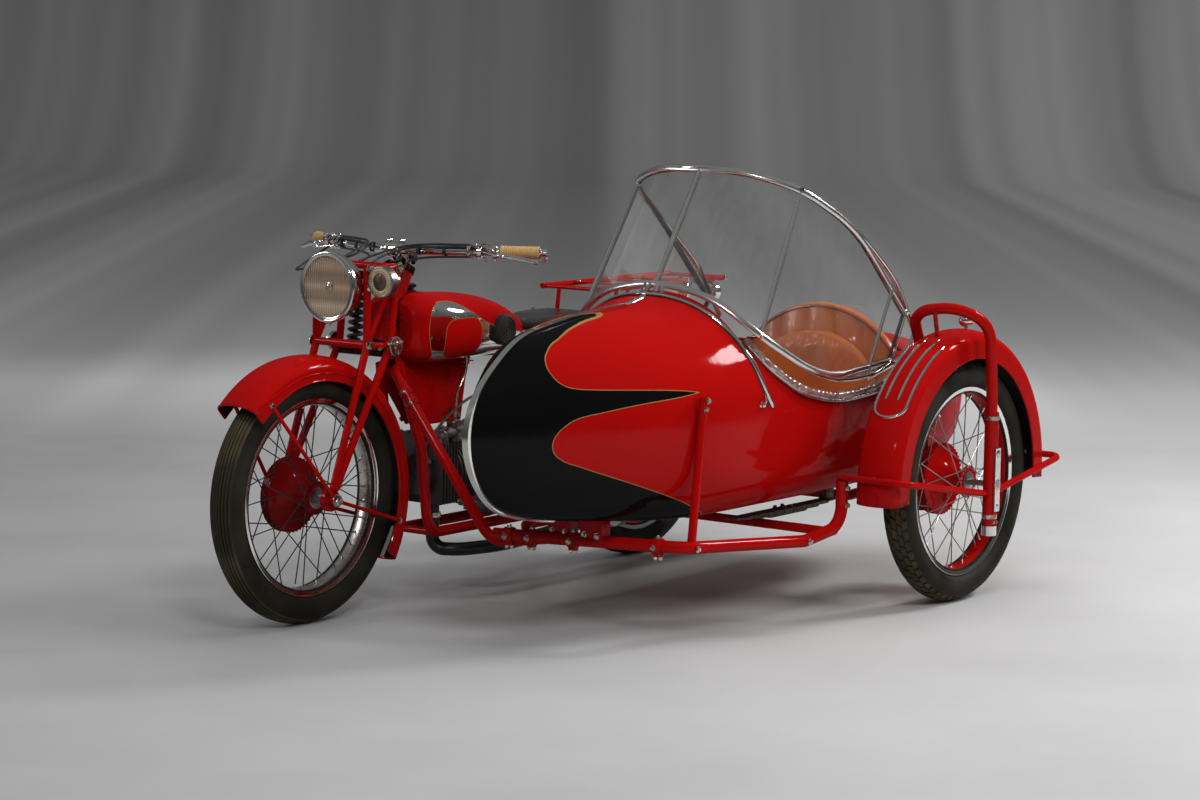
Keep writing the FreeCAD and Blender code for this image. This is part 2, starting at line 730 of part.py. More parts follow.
def make_tank():
    """The saddle tank with its filler cap and knee pads, lofted along its length."""
    sections = [
        (tank_front, 78.0, 66.0, 738.0),
        (tank_front - 26.0, 104.0, 86.0, 736.0),
        (tank_front - 110.0, tank_half, 93.0, 731.0),
        (tank_front - 240.0, tank_half - 2.0, 88.0, 726.0),
        (tank_front - 380.0, tank_half - 24.0, 70.0, 712.0),
        (tank_rear + 20.0, tank_half - 52.0, 42.0, 696.0),
        (tank_rear, 60.0, 30.0, 692.0),
    ]
    body = Part.makeLoft([oval(x, 0, z, half, tall, 3.0) for x, half, tall, z in sections],
                         True, False)
    tunnel = box(V(tank_rear - 40, -32, 560), V(tank_front + 40, 32, tunnel_top))
    slot = box(V(1006, -head_radius - steer_gap, 560), V(tank_front + 40, head_radius + steer_gap, 900))
    body = body.cut(tunnel).cut(slot)
    add("fuel_tank", body)
    cap_at = V(970, -52, tank_top - 20)
    add("filler_cap", rod(cap_at, cap_at + V(0, 0, 40), 28.0).cut(body))
    pads = []
    for side in (1, -1):
        at = V(770, side * 96.0, 716)
        pads.append(rod(at, at + V(0, side * 42.0, 0), 42.0).cut(body))
    add("knee_pads", Part.makeCompound([max(pad.Solids, key=lambda item: item.Volume)
                                        for pad in pads]))


def oval(x, y, z, half, tall, power, count=16):
    """A closed smooth outline square to the X axis: between an ellipse and a box."""
    points = []
    for i in range(count):
        turn = 2 * math.pi * (i + 0.5) / count
        c = math.cos(turn)
        s = math.sin(turn)
        py = math.copysign(abs(c) ** (2.0 / power), c) * half
        pz = math.copysign(abs(s) ** (2.0 / power), s) * tall
        points.append(V(x, y + py, z + pz))
    curve = Part.BSplineCurve()
    curve.interpolate(points, PeriodicFlag=True)
    return Part.Wire(curve.toShape())


def below(shape, other):
    """The lowest piece of a shape once another is cut from it."""
    return min(shape.cut(other).Solids, key=lambda item: item.BoundBox.ZMin)


def saddle_shape():
    """The saddle, wide behind and narrow in front."""
    wires = []
    for x, half, tall in ((288, 70, 12), (305, 110, 26), (375, 128, 30), (465, 104, 28),
                          (555, 62, 22), (604, 36, 12)):
        wires.append(oval(x, 0, saddle_height - 12.0, half, tall, 2.6))
    return Part.makeLoft(wires, True, False)


def make_saddle():
    """The sprung saddle on its coil springs."""
    seat = saddle_shape()
    add("saddle", seat)
    lowered = seat.copy()
    lowered.translate(V(0, 0, -seat_gap))
    coils = []
    for side in (1, -1):
        foot = V(326, side * 48, 600 + seat_gap)
        coils.append(below(rod(foot, V(326, side * 48, saddle_height - 12.0), 20.0), lowered))
    add("saddle_springs", Part.makeCompound(coils))


def make_rear():
    """Rear mudguard, rack, lamps and footrests."""
    add("rear_mudguard", guard(rear_axle_at, rear_guard_radius, guard_half, 40.0, 20.0, 196.0))
    rack = []
    height = 792.0
    end_x = -300.0
    for side in (1, -1):
        rack.append(rod(V(312, side * rack_half, height), V(end_x - 12, side * rack_half, height), 8.0))
        foot = rail_half + 9.0 + 6.0 + 4 * seat_gap
        rack.append(rod(V(-110, side * rack_half, height), V(-16, side * foot, 330), 6.0))
        stay_foot = rail_half + stay_tube + 6.0 + seat_gap
        rack.append(rod(V(230, side * rack_half, height), V(250, side * stay_foot, 527), 6.0))
    for x in (300, -120, end_x):
        rack.append(rod(V(x, -rack_half, height), V(x, rack_half, height), 6.0))
    for x in strap_places:
        strap = box(V(x - 14, -rack_half - 2, height + 1.5), V(x + 14, rack_half + 2, height + 5.5))
        for side in (1, -1):
            hole = V(x, side * strap_hole_side, height)
            strap = bore(strap, hole - V(0, 0, 5), hole + V(0, 0, 10), strap_hole_radius)
        rack.append(strap)
    top = V(-120, 0, height)
    inward = (top - rear_axle_at).normalize()
    rack.append(rod(top, rear_axle_at + inward * (rear_guard_radius + seat_gap), 5.0))
    add("luggage_rack", fuse(rack))
    lamps = []
    for side in (1, -1):
        at = V(end_x + 24, side * 52, height - 44)
        stalk = rod(V(end_x, side * 52, height - 44), V(end_x, side * 52, height - 6.0 - seat_gap), 5.0)
        lamps.append(fuse([rod(at, at - V(48, 0, 0), 31.0), stalk]))
    add("rear_lamps", Part.makeCompound(lamps))
    rests = []
    for side in (1, -1):
        at = V(520, side * 79.0, rail_height)
        bar = rod(at, at + V(0, side * 104.0, 22.0), 9.0)
        rests.append(bar)
    rest_frame = nodes["frame"]
    add("footrests", Part.makeCompound([max(bar.cut(rest_frame).Solids, key=lambda item: item.Volume)
                                        for bar in rests]))


def chain_loop(front, rear, front_r, rear_r, width):
    """The closed outline of a chain round two wheels, as a band of one width."""
    gap = (front - rear).Length
    lean = math.asin((rear_r - front_r) / gap)
    top = V(math.sin(lean), 0, math.cos(lean))
    low = V(math.sin(lean), 0, -math.cos(lean))
    a = rear + top * rear_r
    b = front + top * front_r
    c = front + low * front_r
    d = rear + low * rear_r
    edges = [
        Part.LineSegment(a, b).toShape(),
        Part.Arc(b, front + V(front_r, 0, 0), c).toShape(),
        Part.LineSegment(c, d).toShape(),
        Part.Arc(d, rear - V(rear_r, 0, 0), a).toShape(),
    ]
    face = Part.Face(Part.Wire(edges))
    band = face.extrude(V(0, width, 0))
    band.translate(V(0, -width / 2, 0))
    return band


def make_chain():
    """The rear chain and its guard."""
    rear = rear_axle_at + V(0, chain_side, 0)
    front = V(gear_x, chain_side, crank_height)
    tip = sprocket_radius + 4.0
    high = chain_loop(front, rear, gear_radius + 8.0, tip + 8.0, chain_width)
    low = chain_loop(front, rear, gear_radius + 0.5, tip + 0.5, 12.0)
    middle = chain_loop(front, rear, gear_radius + 4.2, tip + 4.2, 10.0)
    loop = max(middle.Faces, key=lambda item: item.BoundBox.YMax + item.Area).OuterWire
    pin_half = V(0, chain_width / 2 + 2.0, 0)
    pins = []
    for at in loop.discretize(Number=chain_pins + 1)[1:]:
        at = V(at.x, chain_side, at.z)
        pins.append(rod(at - pin_half, at + pin_half, 2.8))
    add("drive_chain", fuse([high.cut(low)] + pins))
    outside = chain_loop(front, rear, gear_radius + 20.0, tip + 18.0, 24.0)
    inside = chain_loop(front, rear, gear_radius + 17.0, tip + 15.0, 60.0)
    upper = box(V(-60, -60, crank_height + 8), V(gear_x + 80, 200, crank_height + 300))
    cover = outside.cut(inside).common(upper)
    bracket = rod(V(120, chain_side + 6, 426), V(120, rail_half - stay_tube - seat_gap, 426), 5.0)
    add("chain_guard", fuse([cover, bracket]))


def hull_wire(station, inset):
    """One cross-section of the body: an arch over a flat-bottomed lower half."""
    x, half, middle, rise, depth, top_power, low_power = station
    points = []
    count = 24
    for i in range(count):
        turn = 2 * math.pi * (i + 0.5) / count
        c = math.cos(turn)
        s = math.sin(turn)
        power = top_power if s > 0 else low_power
        tall = (rise if s > 0 else depth) - inset
        py = math.copysign(abs(c) ** (2.0 / power), c) * (half - inset)
        pz = math.copysign(abs(s) ** (2.0 / power), s) * tall
        points.append(V(x, body_centre + py, middle + pz))
    curve = Part.BSplineCurve()
    curve.interpolate(points, PeriodicFlag=True)
    return Part.Wire(curve.toShape())


def hull_stations():
    """Stations from nose to tail: x, half width, middle height, rise, depth, roundness."""
    nose = body_nose
    low = body_bottom
    return [
        (nose - 8.0, 6.0, 541.0, 34.0, 34.0, 2.0, 2.0),
        (nose - 30.0, 24.0, 541.0, 84.0, 88.0, 2.0, 2.1),
        (nose - 60.0, 45.0, 541.0, 122.0, 130.0, 2.0, 2.2),
        (nose - 119.0, 84.0, 542.0, 172.0, 180.0, 2.0, 2.4),
        (nose - 198.0, 133.0, 546.0, 217.0, 213.0, 2.0, 2.6),
        (nose - 319.0, 200.0, 552.0, 240.0, 240.0, 2.0, 2.9),
        (nose - 470.0, 262.0, 558.0, 254.0, 262.0, 2.0, 3.3),
        (nose - 640.0, 302.0, 562.0, 262.0, 277.0, 2.0, 3.8),
        (screen_foot, body_half, 565.0, 287.0, 280.0, 2.0, 4.2),
        (560.0, body_half + 4.0, 567.0, 270.0, 565.0 - low, 2.1, 4.4),
        (300.0, body_half + 4.0, 567.0, 215.0, 565.0 - low, 2.2, 4.4),
        (60.0, body_half - 4.0, 560.0, 165.0, 270.0, 2.3, 4.2),
        (-150.0, body_half - 22.0, 545.0, 150.0, 252.0, 2.3, 3.8),
        (-340.0, body_half - 64.0, 528.0, 125.0, 228.0, 2.3, 3.3),
        (-460.0, body_half - 118.0, 510.0, 92.0, 192.0, 2.2, 2.8),
        (-530.0, body_half - 190.0, 490.0, 58.0, 140.0, 2.1, 2.4),
        (body_tail, 40.0, 470.0, 24.0, 62.0, 2.0, 2.0),
    ]


def hull(inset, ends):
    """The body as a solid, each section drawn in by the inset, without some end stations."""
    stations = hull_stations()
    kept = stations[ends:len(stations) - ends]
    return Part.makeLoft([hull_wire(station, inset) for station in kept], True, False)


def sill_points(side):
    """The line of the cockpit's padded edge on one side."""
    y = body_centre
    return [
        V(752.0, y + side * 258.0, 742.0),
        V(700.0, y + side * 296.0, 676.0),
        V(580.0, y + side * 318.0, 604.0),
        V(410.0, y + side * 320.0, sill_height + 14.0),
        V(210.0, y + side * 318.0, 580.0),
        V(80.0, y + side * 310.0, 610.0),
        V(0.0, y + side * 292.0, 668.0),
    ]


def cockpit_region():
    """Everything over the cockpit's edge line, right across the body."""
    line = sill_points(1)
    top = body_top + 200.0
    outline = [V(line[0].x + 10.0, 0, top)]
    for point in [V(line[0].x + 10.0, 0, line[0].z)] + line + [V(seat_back_x - 30.0, 0, 690.0)]:
        outline.append(V(point.x, 0, point.z))
    outline.append(V(seat_back_x - 30.0, 0, top))
    face = Part.Face(Part.makePolygon(outline + [outline[0]]))
    region = face.extrude(V(0, 900, 0))
    region.translate(V(0, body_centre - 450, 0))
    return region


def make_sidecar_body():
    """The hollow torpedo body, open over the seat, with its padded edge, strip and seat."""
    outer = hull(0, 0)
    shell = outer.cut(hull(body_wall, 1))
    shell = shell.cut(cockpit_region())
    shell = shell.cut(box(V(seat_back_x - 4, body_centre - 254, 440),
                          V(60, body_centre + 254, 900)))
    rolls = []
    for side in (1, -1):
        shell = shell.cut(smooth_tube(sill_points(side), roll_radius + seat_gap))
        rolls.append(smooth_tube(sill_points(side), roll_radius))
    add("sidecar_body", max(shell.Solids, key=lambda item: item.Volume))
    add("cockpit_roll", Part.makeCompound(rolls))
    cavity = hull(body_wall + seat_gap, 1)
    low = body_centre - 230
    high = body_centre + 230
    plinth = box(V(0, low, body_bottom - 20), V(470, high, seat_height)).common(cavity)
    add("seat_box", plinth)
    cushion = box(V(38, low, seat_height + seat_gap), V(480, high, seat_height + 85))
    add("seat_cushion", cushion.makeFillet(20.0, cushion.Edges))
    back_low = seat_height + seat_gap
    back_mid = 640.0
    left = V(seat_back_x, low - 20, 0)
    right = V(seat_back_x, high + 20, 0)
    up = V(0, 0, 1)
    crown = V(seat_back_x, body_centre, seat_back_top)
    wire = Part.Wire([
        Part.LineSegment(left + up * back_low, left + up * back_mid).toShape(),
        Part.Arc(left + up * back_mid, crown, right + up * back_mid).toShape(),
        Part.LineSegment(right + up * back_mid, right + up * back_low).toShape(),
        Part.LineSegment(right + up * back_low, left + up * back_low).toShape(),
    ])
    add("seat_back", Part.Face(wire).extrude(V(seat_back_wall, 0, 0)))
    strip_half = 9.0
    proud = 6.0
    high_line = []
    low_line = []
    for x, half, middle, rise, depth, top_power, low_power in hull_stations()[:8]:
        high_line.append(V(x + proud * 0.4, 0, middle + rise + proud))
        low_line.append(V(x + proud * 0.4, 0, middle - depth - proud))
    edge = list(reversed(high_line)) + [V(body_nose, 0, 541.0)] + low_line
    curve = Part.BSplineCurve()
    curve.interpolate(edge)
    wire = Part.Wire([curve.toShape(), Part.LineSegment(edge[-1], edge[0]).toShape()])
    plate = Part.Face(wire).extrude(V(0, 2 * strip_half, 0))
    plate.translate(V(0, body_centre - strip_half, 0))
    strip = plate.cut(hull(-seat_gap, 0))
    add("nose_strip", max(strip.Solids, key=lambda item: item.Volume))


def screen_lines():
    """Top and foot of the windscreen at each place along its curve, from one end to the other."""
    near = [
        (20.0, 320.0, 716.0, 60.0, 322.0, 655.0),
        (127.0, 322.0, 862.0, 291.0, 340.0, 612.0),
        (325.0, 315.0, 1010.0, 500.0, 342.0, 624.0),
        (513.0, 270.0, 1115.0, 735.0, 300.0, 750.0),
        (575.0, 150.0, 1155.0, 772.0, 175.0, 845.0),
    ]
    middle = [(592.0, 0.0, 1166.0, 786.0, 0.0, 878.0)]
    far = [(a, -b, c, d, -e, f) for a, b, c, d, e, f in reversed(near)]
    rows = near + middle + far
    tops = [V(a, body_centre + b, c) for a, b, c, d, e, f in rows]
    feet = [V(d, body_centre + e, f) for a, b, c, d, e, f in rows]
    return tops, feet


def with_middles(points, marks):
    """The smooth line's own points: its corners and the middle of each run between them."""
    line = [marks[0]]
    for i in range(1, len(points)):
        line.append((points[i - 1] + points[i]) * 0.5)
        line.append(marks[i])
    return line


def make_windscreen():
    """The framed windscreen: a chrome rail all round, five posts and six panes."""
    tops, feet = screen_lines()
    top_path, top_marks = smooth_path(tops)
    foot_path, foot_marks = smooth_path(feet)
    rails = [smooth_tube(tops, screen_tube), smooth_tube(feet, screen_tube)]
    post_radius = screen_tube - 2.0
    posts = [rod(top_marks[i], foot_marks[i], post_radius) for i in (0, 1, 3, 5, 7, 9, 10)]
    frame = fuse(rails + posts)
    pin = rod(foot_marks[5], V(foot_marks[5].x, body_centre, 800), 5.0)
    stubs = [pin]
    for i in (1, 3, 7, 9):
        at = foot_marks[i]
        toward = V(0, body_centre - at.y, -60 if i in (3, 7) else -20)
        stubs.append(rod(at, at + toward * (60.0 / toward.Length), 5.0))
    grown = hull(-seat_gap, 0)
    kept = []
    for stub in stubs:
        outside = stub.cut(grown)
        for side in (1, -1):
            outside = outside.cut(smooth_tube(sill_points(side), roll_radius + seat_gap))
        at_rail = sorted(outside.Solids, key=lambda item: item.distToShape(frame)[0])
        kept.append(at_rail[0])
    add("windscreen_frame", fuse([frame] + kept))
    top_line = with_middles(tops, top_marks)
    foot_line = with_middles(feet, foot_marks)
    last_index = len(top_line) - 1
    grown_rails = [smooth_tube(tops, screen_tube + seat_gap), smooth_tube(feet, screen_tube + seat_gap)]
    panes = []
    for first, last in ((0, 2), (2, 6), (6, 10), (10, 14), (14, 18), (18, 20)):
        sections = []
        for i in range(first, last + 1):
            foot = foot_line[i]
            top = top_line[i]
            along = (top_line[min(i + 1, last_index)] - top_line[max(i - 1, 0)]).normalize()
            rise = (top - foot).normalize()
            face_out = along.cross(rise).normalize() * (glass_wall / 2)
            corners = [foot + face_out, top + face_out, top - face_out, foot - face_out]
            sections.append(Part.makePolygon(corners + [corners[0]]))
        pane = Part.makeLoft(sections, True, True)
        cutters = list(grown_rails)
        for i in (first, last):
            cutters.append(rod(top_line[i], foot_line[i], post_radius + seat_gap))
        for cutter in cutters:
            pane = pane.cut(cutter)
        panes.append(max(pane.Solids, key=lambda item: item.Volume))
    add("windscreen_glass", Part.makeCompound(panes))


def make_sidecar_chassis():
    """The tube chassis, its springs, axle, mudguard, outer strut and stay."""
    h = chassis_height
    outer = [V(1150, 400, h), V(1060, riser_side, h + 10), V(640, 1010, h - 16),
             V(478, 1018, h + 6), V(478, 1018, stay_height - stay_radius - seat_gap)]
    pieces = [tube(outer, chassis_tube, 60)]
    inner = [V(1112, 480, h + 2), V(930, 330, h - 10), V(-120, 330, h - 10)]
    pieces.append(tube(inner, chassis_tube - 2.0, 90))
    leg_side = track - strut_inner
    rear = [V(-60, 330, h - 10), V(-60, 700, h - 10), V(wheel_lead, 880, 292),
            V(wheel_lead, leg_side - strut_radius - seat_gap, 292)]
    pieces.append(tube(rear, chassis_tube - 2.0, 60))
    pieces.append(rod(V(500, 330, h - 10), V(500, 1000, h - 10), 12.0))
    pieces.append(tube([brace_top, brace_low, V(1112, 540, h - 2)], 14.0, 80))
    for side in (1, -1):
        pad_y = body_centre + side * 50.0
        pad = box(V(1080, pad_y - 34, h), V(1116, pad_y + 34, 320)).cut(hull(-seat_gap, 0))
        pieces.append(min(pad.Solids, key=lambda item: item.BoundBox.ZMin))
    stay_line = V(330, 0, 263).normalize()
    clamp_at = rear_axle_at + V(0, rail_half, 0) + stay_line * 90.0
    clamp = rod(clamp_at - stay_line * 14, clamp_at + stay_line * 14, stay_tube + 8.0)
    arm = tube([clamp_at, clamp_at + V(-10, 80, 0), V(-60, 330, h - 10)], 12.0, 40)
    grip = fuse([clamp, arm]).cut(rod(rear_axle_at + V(0, rail_half, 0),
                                      clamp_at + stay_line * 90, stay_tube + seat_gap))
    pieces.append(grip)
    mid_at = V(424, rail_half, rail_height)
    mid = fuse([rod(mid_at - V(12, 0, 0), mid_at + V(4, 0, 0), frame_tube + 6.0),
                tube([mid_at, mid_at + V(0, 40, 30), mid_at + V(0, 110, 30), V(424, 330, h - 10)],
                     10.0, 24)])
    pieces.append(mid.cut(nodes["frame"]))
    pad = rod(V(994, riser_side, 590), V(994, riser_side - 60, 590), 8.0).cut(hull(-seat_gap, 0))
    pieces.append(max(pad.Solids, key=lambda item: item.BoundBox.YMax))
    pieces.append(rod(V(1036, riser_side, h), V(990, riser_side, 620), 11.0))
    add("sidecar_chassis", fuse(pieces))
    springs = []
    for side in (1, -1):
        y = body_centre + side * 150.0
        low = h - 10 + 12.0 + seat_gap
        leaf = box(V(150, y - 20, low), V(640, y + 20, low + 16))
        shackle = box(V(160, y - 20, low + 10), V(200, y + 20, 330)).cut(hull(-seat_gap, 0))
        springs.append(fuse([leaf, min(shackle.Solids, key=lambda item: item.BoundBox.ZMin)]))
    add("leaf_springs", Part.makeCompound(springs))

    centre = side_axle_at + V(15, 0, 5)
    add("sidecar_mudguard", guard(centre, side_guard_radius, guard_half, side_guard_drop, -4.0, 184.0))
    outside = track + strut_outer
    leg = [V(wheel_lead, leg_side, 236), V(wheel_lead + 6, leg_side, 640),
           V(175, leg_side + 30, 788), V(150, track + 50, 804), V(72, outside, 757),
           V(wheel_lead, outside, 540), V(wheel_lead, outside, 215)]
    strut = [smooth_tube(leg, strut_radius)]
    sleeve_foot = V(wheel_lead, outside, 215)
    strut.append(rod(sleeve_foot, V(wheel_lead, outside, 520), sleeve_radius))
    strut.append(rod(sleeve_foot, sleeve_foot + V(0, 0, 30), sleeve_radius + 1.0))
    post_dir = V(math.cos(post_angle), 0, math.sin(post_angle))
    strut.append(rod(centre + post_dir * (side_guard_radius + seat_gap),
                     centre + post_dir * (side_guard_radius + 68.0), 6.0))
    dz = stay_height - centre.z
    guard_reach = math.sqrt(side_guard_radius ** 2 - dz ** 2) + stay_radius + seat_gap
    front_x = centre.x + guard_reach
    rear_x = centre.x - guard_reach
    stay = [V(front_x, track - 100, stay_height), V(front_x, outside - 4, stay_height),
            V(wheel_lead, outside, stay_height - 72), V(rear_x, outside - 4, stay_height - 10),
            V(rear_x, track + 30, stay_height - 10)]
    strut.append(tube(stay, stay_radius, 34))
    whole = fuse(strut)
    reach = V(0, 300, 0)
    whole = bore(whole, side_axle_at - reach, side_axle_at + reach, axle_radius + seat_gap)
    add("wheel_strut", whole)
    cap = rod(sleeve_foot - V(0, 0, 26), sleeve_foot - V(0, 0, seat_gap), sleeve_radius + 1.0)
    face_y = outside + sleeve_radius + seat_gap
    plate = box(V(wheel_lead - 13, face_y, 255), V(wheel_lead + 13, face_y + 3.5, 425))
    plate = bore(plate, side_axle_at - reach, side_axle_at + reach, axle_radius + seat_gap)
    add("strut_fittings", Part.makeCompound([cap, plate]))
    lamp_turn = math.radians(97.0)
    lamp_dir = V(math.cos(lamp_turn), 0, math.sin(lamp_turn))
    lamp_at = centre + lamp_dir * (side_guard_radius + 22.0)
    lamp = [rod(centre + lamp_dir * (side_guard_radius + seat_gap), lamp_at, 6.0),
            rod(lamp_at - V(18, 0, 0), lamp_at + V(16, 0, 0), 13.0),
            Part.makeSphere(13.0, lamp_at + V(16, 0, 0))]
    add("guard_lamp", fuse(lamp))
    add("sidecar_axle", rod(side_axle_at - V(0, strut_inner + 24, 0),
                            side_axle_at + V(0, strut_outer + 24, 0), axle_radius))


def make_all():
    """Every piece of the outfit."""
    make_wheels()
    make_fork()
    make_front_guard()
    make_bars()
    make_lamps()
    make_frame()
    make_engine()
    make_tank()
    make_saddle()
    make_rear()
    make_chain()
    make_sidecar_body()
    make_windscreen()
    make_sidecar_chassis()


make_all()
middle_x = (wheelbase + tyre_radius + body_tail) / 2
middle_y = (track + strut_outer + 24 - bar_half - 12) / 2
os.makedirs("parts", exist_ok=True)
for name, shape in nodes.items():
    shape.translate(V(-middle_x, -middle_y, 0))
    print(name, shape.isValid(), len(shape.Solids), round(shape.Volume / 1000))
    shape.exportStep("parts/" + name + ".step")
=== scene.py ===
import math
import bpy
import bmesh
from mathutils import Matrix, Vector


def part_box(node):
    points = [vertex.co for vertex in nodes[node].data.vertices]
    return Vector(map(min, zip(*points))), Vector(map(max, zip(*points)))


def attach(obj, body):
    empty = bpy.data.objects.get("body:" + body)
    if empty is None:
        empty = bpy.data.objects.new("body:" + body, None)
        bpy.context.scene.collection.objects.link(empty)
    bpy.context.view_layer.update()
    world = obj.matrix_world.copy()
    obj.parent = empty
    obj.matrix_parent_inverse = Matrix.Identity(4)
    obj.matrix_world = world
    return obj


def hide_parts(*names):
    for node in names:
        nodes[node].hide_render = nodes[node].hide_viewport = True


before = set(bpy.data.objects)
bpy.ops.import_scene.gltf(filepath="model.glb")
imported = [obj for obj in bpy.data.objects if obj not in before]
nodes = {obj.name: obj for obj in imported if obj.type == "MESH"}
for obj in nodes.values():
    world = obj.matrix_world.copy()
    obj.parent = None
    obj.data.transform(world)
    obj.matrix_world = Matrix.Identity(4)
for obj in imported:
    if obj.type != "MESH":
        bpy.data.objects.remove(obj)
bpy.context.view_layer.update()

# Places are given in metres from the ground under the rear axle: x forward, y left, z up.
axle_low, axle_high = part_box("rear_axle")
origin = Vector(((axle_low.x + axle_high.x) / 2, (axle_low.y + axle_high.y) / 2, 0))
wheel_height = (axle_low.z + axle_high.z) / 2


def at(x, y, z):
    """A place in the frame."""
    return origin + Vector((x, y, z))


def middle(node):
    """The middle of a node's box."""
    low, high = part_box(node)
    return (low + high) / 2


rear_axle = at(0, 0, wheel_height)
front_axle = Vector((middle("front_tyre").x, origin.y, wheel_height))
side_axle = Vector((middle("sidecar_tyre").x, middle("sidecar_tyre").y, wheel_height))
# The sidecar body's middle line, in metres and for mm()
body_y = 0.630
body_mm = 630
body_z = 0.565
X, Y, Z = Vector((1, 0, 0)), Vector((0, 1, 0)), Vector((0, 0, 1))
# The headlamp's middle height in millimetres, and its glass's radius in metres
lamp_height = 858
lamp_radius = 0.0825


def mm(x, y, z):
    """A place in the frame, from millimetres."""
    return at(x / 1000, y / 1000, z / 1000)


def rounds(count, start=0.0):
    """Angles spaced evenly round a full turn."""
    return [2 * math.pi * k / count + start for k in range(count)]


def upright(turn):
    """Forward turned towards up, as a wheel's spokes stand."""
    return X * math.cos(turn) + Z * math.sin(turn)


def bowed(value, power):
    """A power that keeps its sign, for rounded boxes."""
    return math.copysign(abs(value) ** power, value)


# Colours, as the surface reflects them
red = (0.37, 0.003, 0.0025)
worn_red = (0.34, 0.003, 0.003)
# A shaded copy of the red: painted shade, for the front and rear wheels' hubs
red_in_painted_shade = (0.20, 0.004, 0.004)
black = (0.0035, 0.0035, 0.0035)
gold = (0.30, 0.16, 0.045)
silver = (0.80, 0.80, 0.79)
steel = (0.42, 0.41, 0.40)
alloy = (0.13, 0.125, 0.12)
rubber = (0.011, 0.0105, 0.0085)
tan = (0.50, 0.31, 0.12)
brown_leather = (0.23, 0.042, 0.016)


def node(tree, kind, **values):
    """A shader node with its inputs or properties set by name."""
    made = tree.nodes.new(kind)
    for key, value in values.items():
        if key in made.inputs:
            made.inputs[key].default_value = value
        else:
            setattr(made, key, value)
    return made


def apart(tree, kind="Object"):
    """x, y and z of a kind of coordinates."""
    coords = tree.nodes.new("ShaderNodeTexCoord")
    made = tree.nodes.new("ShaderNodeSeparateXYZ")
    tree.links.new(coords.outputs[kind], made.inputs["Vector"])
    return made.outputs["X"], made.outputs["Y"], made.outputs["Z"]


def place(tree, scale=(1, 1, 1)):
    """Object coordinates, stretched."""
    coords = tree.nodes.new("ShaderNodeTexCoord")
    mapping = tree.nodes.new("ShaderNodeMapping")
    mapping.inputs["Scale"].default_value = scale
    tree.links.new(coords.outputs["Object"], mapping.inputs["Vector"])
    return mapping.outputs["Vector"]


def noise(tree, vector, scale, detail=4.0, rough=0.55):
    """A noise value."""
    made = node(tree, "ShaderNodeTexNoise", Scale=scale, Detail=detail, Roughness=rough)
    tree.links.new(vector, made.inputs["Vector"])
    return made.outputs["Fac"]


def ramp(tree, value, low, high, a=(0, 0, 0, 1), b=(1, 1, 1, 1)):
    """A value spread between two stops."""
    made = tree.nodes.new("ShaderNodeValToRGB")
    made.color_ramp.elements[0].position = low
    made.color_ramp.elements[1].position = high
    made.color_ramp.elements[0].color = a
    made.color_ramp.elements[1].color = b
    tree.links.new(value, made.inputs["Fac"])
    return made.outputs["Color"]


def math_node(tree, operation, a, b=None):
    """One sum on values or sockets."""
    made = node(tree, "ShaderNodeMath", operation=operation)
    for i, value in enumerate((a, b)):
        if value is None:
            continue
        if isinstance(value, (int, float)):
            made.inputs[i].default_value = value
        else:
            tree.links.new(value, made.inputs[i])
    return made.outputs["Value"]


def blend_colour(tree, fac, a, b):
    """Two colours mixed by a value."""
    made = tree.nodes.new("ShaderNodeMix")
    made.data_type = "RGBA"
    for socket, value in (("A", a), ("B", b)):
        target = [s for s in made.inputs if s.name == socket and s.type == "RGBA"][0]
        if isinstance(value, tuple):
            target.default_value = (*value[:3], 1)
        else:
            tree.links.new(value, target)
    factor = [s for s in made.inputs if s.name == "Factor" and s.type == "VALUE"][0]
    tree.links.new(fac, factor)
    return [s for s in made.outputs if s.type == "RGBA"][0]


def spread(tree, value, low, high, first=0.0, last=1.0):
    """A value between first and last moved to the range from low to high."""
    made = node(tree, "ShaderNodeMapRange")
    made.inputs["From Min"].default_value = first
    made.inputs["From Max"].default_value = last
    made.inputs["To Min"].default_value = low
    made.inputs["To Max"].default_value = high
    tree.links.new(value, made.inputs["Value"])
    return made.outputs["Result"]


def bump(tree, shader, value, strength, distance):
    """A height that bends the surface's shading."""
    made = node(tree, "ShaderNodeBump", Strength=strength, Distance=distance)
    tree.links.new(value, made.inputs["Height"])
    tree.links.new(made.outputs["Normal"], shader.inputs["Normal"])
    return made


